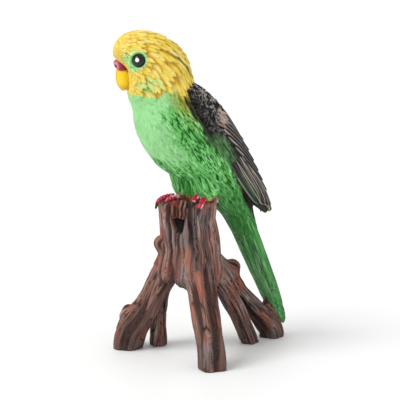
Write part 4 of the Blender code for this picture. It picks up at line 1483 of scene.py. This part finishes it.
@dataclass
class Stump:
    """Trunk and spreading roots as one barked skin."""

    voxel: float = 0.32
    top_radius: float = 9.2
    waist_radius: float = 9.0
    base_radius: float = 10.6
    underside: float = 22.6
    trunk_ridges: int = 9
    trunk_ridge_depth: float = 0.30
    root_ridges: int = 5
    root_ridge_depth: float = 0.32
    lip_inset: float = 1.5
    chart_end: float = 31.0
    heart_height: float = 44.6
    heart_place: float = -0.1528
    cleft_place: float = 0.040
    pits: tuple = (
        ((-1.7, -9.9, 36.6), (1.5, 1.7, 1.9), 1.0),
        ((8.8, 3.2, 52.3), (1.0, 1.0, 1.0), 1.1),
        ((-13.4, -16.4, 12.6), (1.2, 1.2, 1.4), 0.7),
    )
    furrow_depth: float = 0.60
    crack_depth: float = 0.50

    def limbs(self) -> list:
        """The trunk and then the roots, each as a list of stations along its line.

        Returns:
            Lists of x, y, z, half width and half depth.
        """
        profile = [
            (self.underside + 0.6, 0.5, 0.0), (self.underside + 0.7, 6.0, 0.2),
            (self.underside + 1.3, self.base_radius - 1.1, 0.3),
            (self.underside + 3.2, self.base_radius - 0.2, 0.5),
            (self.underside + 6, self.base_radius, 0.6),
            (self.underside + 11, self.base_radius - 0.8, 0.9),
            (PERCH - 13, self.waist_radius + 0.3, 0.5), (PERCH - 7, self.waist_radius, -0.2),
            (PERCH - 2.0, self.top_radius + 0.2, -0.2), (PERCH - 0.6, self.top_radius - 0.4, -0.2),
            (PERCH, 5.0, -0.2), (PERCH + 0.1, 0.5, -0.2),
        ]
        made = [[(*(LEAN * lean), z, r, r) for z, r, lean in profile]]
        for points in ROOTS.values():
            foot = points[-1]
            made.append([(*p, p[3]) for p in points]
                        + [(foot[0] * 1.02, foot[1] * 1.02, -3.0, foot[3] * 0.8, foot[3] * 0.8)])
        return made

    def ridges(self, along: Array, around: Array, count: int, depth: float, seed: float) -> Array:
        """The broad ridges of a stem: a cosine round the stem whose phase wanders a little
        along it, plus a slower lump, fading out at both ends.

        Args:
            along: Share of the stem's length.
            around: Angle round it in radians.
            count: Number of ridges.
            depth: Their depth in millimetres.
            seed: Which pattern.

        Returns:
            How far the surface stands off, in millimetres.
        """
        wander = 0.5 * np.sin(7.0 * along + seed) + 0.4 * np.sin(2.0 * around + 3 * seed)
        ridge = np.cos(count * around + 0.9 * wander + 0.8 * np.sin(5.0 * along + 2 * seed))
        lump = 0.6 * np.sin(3.0 * around + 9.0 * along + seed)
        return depth * (ridge + lump) * np.clip(np.minimum(along, 1 - along) * 12, 0, 1)

    def forms(self) -> Skin:
        """Closed tubes for the limbs, flattened at the floor, balls for the knots, and the lip.

        Returns:
            All of them as one skin, not yet fused.
        """
        along = np.linspace(0, 1, 150)[:, None]
        around = np.arange(120)[None, :] * (TAU / 120)
        parts = []
        for k, stations in enumerate(self.limbs()):
            across = (-stations[-2][1], stations[-2][0], 0.0) if k else (1, 0, 0)
            relief = (self.ridges(along, around, self.root_ridges, self.root_ridge_depth,
                                  1.3 * (k - 1) + 0.7) if k else
                      self.ridges(along, around, self.trunk_ridges, self.trunk_ridge_depth, 0.6))
            rings = tube_rings(stations, across, 150, 120, relief)
            rings[..., 2] = np.maximum(rings[..., 2], -0.04)
            parts.append(Skin.from_rings(rings))
        for centre, radii in KNOTS:
            parts.append(Skin.from_rings(ball_rings(np.array(centre), radii)))
        reach = self.top_radius - self.lip_inset
        lip = [(reach * math.cos(math.radians(angle)), reach * math.sin(math.radians(angle)),
                PERCH - 0.6, height, thickness) for angle, height, thickness in RIM_LIP]
        parts.append(Skin.from_rings(tube_rings(lip, (0, 0, 1), 60, 40)))
        return Skin.joined(parts)

    def charts(self, points: Array) -> tuple:
        """For each point, the limb whose line is nearest for its thickness.

        Args:
            points: Points in millimetres.

        Returns:
            Distance along the limb, place round it in turns, its radius, its number, and a
            share that falls to 0 where two limbs' charts meet.
        """
        best, second = np.full(len(points), np.inf), np.full(len(points), np.inf)
        along, turns, radius, limb = (np.zeros(len(points)) for _ in range(4))
        for k, stations in enumerate(self.limbs()):
            numbers = curve(stations, np.linspace(0, 1, 160))
            centres = numbers[:, :3]
            squares = (centres**2).sum(1) - 2 * points @ centres.T + (points**2).sum(1)[:, None]
            ratio = np.sqrt(np.maximum(squares, 0)) / np.maximum(numbers[:, 3], 0.8)
            index = np.argmin(ratio, axis=1)
            lengths = np.concatenate([[0], np.cumsum(
                np.linalg.norm(np.diff(centres, axis=0), axis=1))])
            tangent = unit(np.gradient(centres, axis=0))[index]
            side = unit(np.cross(tangent, np.array([0.31, 0.92, 0.24])))
            off = points - centres[index]
            angle = np.arctan2((off * np.cross(tangent, side)).sum(1), (off * side).sum(1))
            score = ratio[np.arange(len(points)), index]
            distance, size = lengths[index], numbers[index, 3]
            if k == 0:
                angle = np.arctan2(points[:, 1], points[:, 0])
                distance, size = points[:, 2], np.full(len(points), self.waist_radius)
                score = (0.78 * np.hypot(points[:, 0], points[:, 1]) / self.base_radius
                         + 0.09 * np.maximum(0, self.chart_end - points[:, 2]))
            near = score < best
            second = np.where(near, best, np.minimum(second, score))
            best = np.where(near, score, best)
            along = np.where(near, distance, along)
            turns = np.where(near, angle / TAU % 1, turns)
            radius = np.where(near, size, radius)
            limb = np.where(near, k, limb)
        return along, turns, radius, limb, ramp(0.0, 0.09, second - best)

    def build(self) -> Skin:
        """Fuses the limbs, carves furrows, cracks and hollows, and lays the paint on.

        Returns:
            The whole stump as one skin.
        """
        skin = self.forms().fused(self.voxel).relaxed(3)
        joins = ramp(14.0, 20.0, skin.points[:, 2]) * ramp(38.0, 33.0, skin.points[:, 2])
        skin = skin.relaxed(90, 0.7 * joins[:, None])
        points, normal = skin.points, skin.normals()
        along, turns, radius, limb, clear = self.charts(points)
        trunk = limb == 0
        bend = turns + 0.004 * np.sin(along * 0.30 + 2.1 * limb) + 0.002 * np.sin(along + limb)
        place = along + 37.0 * limb
        wide, narrow, thread = (
            np.where(trunk, wrapped_noise(place, bend, length, count, seed),
                     wrapped_noise(place, bend, length, count // 2, seed))
            for length, count, seed in ((22.0, 38, 301), (10.0, 64, 302), (5.5, 104, 303))
        )
        furrows = ramp(0.38, 0.22, wide) * clear
        cracks = ramp(0.06, 0.02, np.abs(narrow - 0.40)) * clear
        lumps = solid_noise(points, 5.0, 304)
        relief = (
            0.36 * (wide - 0.5) * clear - self.furrow_depth * furrows - self.crack_depth * cracks
            + 0.26 * (thread - 0.5) + 0.3 * (lumps - 0.5) + 0.12
        )
        distance = np.hypot(points[:, 0], points[:, 1])
        top = ramp(PERCH - 0.9, PERCH - 0.2, points[:, 2]) * ramp(8.6, 7.6, distance)
        relief = relief * (1 - 0.8 * top)
        hollow, gouges, cleft = self.carvings(points, np.arctan2(points[:, 1], points[:, 0]) / TAU)
        relief = relief - 2.2 * hollow - 0.7 * gouges - 0.9 * cleft
        for centre, radii, depth in self.pits:
            inside = ramp(1.15, 0.35, np.linalg.norm((points - centre) / radii, axis=1))
            relief = relief - depth * inside
            hollow = np.maximum(hollow, inside)
        sole = ramp(0.0, 2.0, points[:, 2])
        skin.points = points + normal * (relief * (0.25 + 0.75 * sole))[:, None]
        skin.points[:, 2] = np.maximum(skin.points[:, 2], 0.0)
        dark = np.clip(np.max([furrows, 0.95 * cracks, gouges, cleft], axis=0), 0, 1)
        skin.layers = self.painted(points, normal, dark, wide, thread, hollow)
        skin.layers["chart"] = np.stack(
            [place, radius * np.cos(TAU * bend), radius * np.sin(TAU * bend)], 1)
        return skin

    def carvings(self, points: Array, turns: Array) -> tuple:
        """What the carver cut into the front of the trunk: a heart-shaped hollow with gouges
        running up from it to the rim, and a long cleft at the right.

        Args:
            points: Points of the smooth form.
            turns: Place round the trunk.

        Returns:
            Depth from 0 to 1 of the hollow, the gouges and the cleft.
        """
        rise = points[:, 2] - self.heart_height
        aside = ((turns - self.heart_place + 0.5) % 1 - 0.5) * TAU * self.waist_radius
        half = 2.3 * np.sqrt(np.clip((rise + 3.0) / 4.2, 0, 1)) * ramp(2.6, 1.7, rise)
        lobes = 0.8 * ramp(0.9, 0.0, np.abs(aside)) * ramp(0.2, 1.6, rise)
        hollow = ramp(-0.35, 0.45, half - np.abs(aside) - lobes) * (half > 0)
        gouges = np.zeros(len(points))
        for lean in (-2.1, -1.1, -0.1, 1.0, 2.0):
            line = lean * (0.9 + 0.08 * rise) + 0.15 * np.sin(1.7 * rise + lean)
            gouge = ramp(0.48, 0.22, np.abs(aside - line))
            gouge = gouge * ramp(1.0, 2.0, rise) * ramp(9.0, 8.2, rise)
            gouges = np.maximum(gouges, gouge)
        beside = ((turns - self.cleft_place + 0.5) % 1 - 0.5) * TAU * self.waist_radius
        beside = beside + 0.25 * np.sin(0.5 * points[:, 2])
        height = points[:, 2]
        cleft = ramp(0.60, 0.15, np.abs(beside)) * ramp(PERCH - 1, PERCH - 3, height)
        cleft = cleft * ramp(20.0, 25.0, height)
        return hollow, gouges, cleft

    def painted(self, points: Array, normal: Array, dark: Array, wide: Array, thread: Array,
                hollow: Array) -> dict:
        """Brown bark in several broken coats, dark in the furrows and pale on the ridges, with
        painted shade on the trunk's right front and undersides and a painted shadow on the rim
        between the toes.

        Args:
            points: Points of the smooth form.
            normal: Its outward directions.
            dark: Where the furrows, cracks and gouges are.
            wide: Noise of the broad furrows, high on the ridges between them.
            thread: Noise of the fine ones. Not used.
            hollow: How deep a point lies in a carved hollow.

        Returns:
            Base coat, wash and pale coat, and the strength of the last two.
        """
        broad = solid_noise(points, 7.0, 311)
        patches = solid_noise(points * np.array([1, 1, 0.45]), 2.6, 312)
        angle = np.degrees(np.arctan2(points[:, 1], points[:, 0]))
        # Painted shade: a darker grey band down the trunk's right front, on the side turned from
        # the light
        band = ramp(-36.0, -26.0, angle) * ramp(12.0, 4.0, angle)
        band = band * ramp(PERCH - 2, PERCH - 5, points[:, 2]) * ramp(28.0, 33.0, points[:, 2])
        low = ramp(13.0, 1.0, points[:, 2] + 6 * (broad - 0.5))
        # Painted shade on the downward-facing undersides below the rim, which also get less of the
        # pale coat
        under = ramp(0.1, -0.7, normal[:, 2]) * ramp(PERCH - 6, PERCH - 16, points[:, 2])
        bleed = ramp(PERCH - 1.0, PERCH + 0.5, points[:, 2] + 2 * (patches - 0.5))
        shade = ramp(-80.0, -88.0, angle) * ramp(-124.0, -116.0, angle)
        shade = shade * ramp(PERCH - 1.6, PERCH - 0.8, points[:, 2])
        colour = layered(
            points.shape, "#855F53", ("#75686A", 0.7 * ramp(0.50, 0.74, broad)),
            ("#94503E", 0.55 * ramp(0.52, 0.70, patches)), ("#4E4544", 0.85 * band),
            ("#474341", 0.6 * low), ("#352E2C", 0.65 * under), ("#34231F", 0.88 * dark),
            ("#151010", hollow), ("#8E3A30", 0.6 * bleed * ramp(4, 0, points[:, 1])),
            ("#1C1414", 0.9 * shade))
        wash = np.broadcast_to(linear("#2C1D1A"), points.shape)
        pale = mixed(linear("#BCA498"), linear("#B0705C"), ramp(0.45, 0.7, patches))
        lit = np.clip(0.25 + 0.75 * ramp(0.45, 0.75, wide), 0, 1) * (1 - dark) * (1 - hollow)
        return {"paint": colour, "wash": wash, "wash_strength": 0.62 + 0 * dark, "pale": pale,
                "pale_strength": 0.6 * lit * (1 - 0.55 * low) * (1 - 0.6 * under)}


# Studio


@dataclass
class Studio:
    """Pale floor, soft lights and the camera."""

    azimuth: float = 55.0
    elevation: float = 10.5
    lens: float = 138.0
    distance: float = 0.5
    target: tuple = (0.000790, -0.004393, 0.0515)
    sky: float = 0.76
    sun_from: tuple = (-0.05, -0.66, 0.75)
    sun_strength: float = 1.8
    sun_spread: float = 34.0
    floor_reach: float = 3.0
    floor_white: float = 0.92

    def camera(self) -> None:
        """A long lens on the bird's front left, slightly above it."""
        a, e = math.radians(self.azimuth), math.radians(self.elevation)
        back = Vector((math.sin(a) * math.cos(e), -math.cos(a) * math.cos(e), math.sin(e)))
        data = bpy.data.cameras.new("camera")
        data.lens, data.sensor_width = self.lens, 36.0
        data.clip_start, data.clip_end = 0.01, 10.0
        obj = linked("camera", data, back)
        obj.location = Vector(self.target) + back * self.distance
        bpy.context.scene.camera = obj

    def sun(self) -> None:
        """One far light, wide enough for soft shadows."""
        data = bpy.data.lights.new("key", "SUN")
        data.energy, data.angle = self.sun_strength, math.radians(self.sun_spread)
        linked("key", data, Vector(self.sun_from))

    def floor(self) -> None:
        """A wide floor of matte white paper, which gives only a pale ground and soft shadows."""
        data = bpy.data.meshes.new("floor")
        size = self.floor_reach
        data.from_pydata([(-size, -size, 0), (size, -size, 0), (size, size, 0), (-size, size, 0)],
                         [], [(0, 1, 2, 3)])
        made = bpy.data.materials.new("white_paper")
        made.use_nodes = True
        shader = made.node_tree.nodes["Principled BSDF"]
        shader.inputs["Base Color"].default_value = (*(self.floor_white,) * 3, 1)
        shader.inputs["Roughness"].default_value = 0.5
        shader.inputs["Specular IOR Level"].default_value = 0.2
        data.materials.append(made)
        obj = linked("floor", data)

    def build(self) -> None:
        """Sets up the world, lights, floor and camera."""
        scene = bpy.context.scene
        scene.view_settings.view_transform = "Standard"
        world = bpy.data.worlds.new("studio")
        world.use_nodes = True
        background = world.node_tree.nodes["Background"]
        background.inputs["Color"].default_value = (1, 1, 1, 1)
        background.inputs["Strength"].default_value = self.sky
        scene.world = world
        self.sun()
        self.floor()
        self.camera()


def main() -> None:
    """Builds the figurine piece by piece, then the studio."""
    logging.basicConfig(level=logging.INFO, format="%(message)s")

    # Matte acrylics: dull, with dark short strokes between the barbs of the plumage, fainter
    # ones on the head, long fine lines on the wings and longer fibres on the bark. The satin
    # on bill, cere and toes looks skin-like, and the gloss makes the eyes look wet.
    plumage = Paint("dry_brushed_acrylic_plumage", Coat.DRY_BRUSHED, 0.52, stroke_length=1.8,
                    stroke_width=0.42, stroke_depth=0.34, wash_from=0.545, wash_to=0.575,
                    scribble=2.2)
    crown = Paint("dry_brushed_acrylic_head", Coat.DRY_BRUSHED, 0.50, stroke_length=2.0,
                  stroke_width=0.40, stroke_depth=0.14, wash_from=0.55, wash_to=0.62)
    wing = Paint("dry_brushed_acrylic_wing", Coat.DRY_BRUSHED, 0.50, stroke_length=3.0,
                 stroke_width=0.35, stroke_depth=0.12, scribble=2.2)
    bark = Paint("dry_brushed_acrylic_bark", Coat.DRY_BRUSHED, 0.60, stroke_length=7.0,
                 stroke_width=0.36, stroke_depth=0.20, wash_from=0.55)
    satin = Paint("satin_acrylic", Coat.SATIN, 0.36, mottle=0.03)
    gloss = Paint("gloss_enamel", Coat.GLOSS, 0.12, mottle=0.0)
    place_piece("stump", Stump().build(), bark.material())
    place_piece("head_plumage", Plumage().head(), crown.material())
    place_piece("body_plumage", Plumage().body(), plumage.material())
    wing_paint = wing.material()
    for name, side in (("left_wing_feathers", 1), ("right_wing_feathers", -1)):
        place_piece(name, Wings().build(side), wing_paint)
    place_piece("tail_feathers", Tail().build(), wing_paint)
    face, satin_paint = Face(), satin.material()
    place_piece("bill", face.bill(), satin_paint)
    place_piece("cere", face.cere(), satin_paint)
    place_piece("eyes", face.eyes(), gloss.material())
    place_piece("toes", Feet().build(), satin_paint)
    Studio().build()


if __name__ == "__main__":
    main()
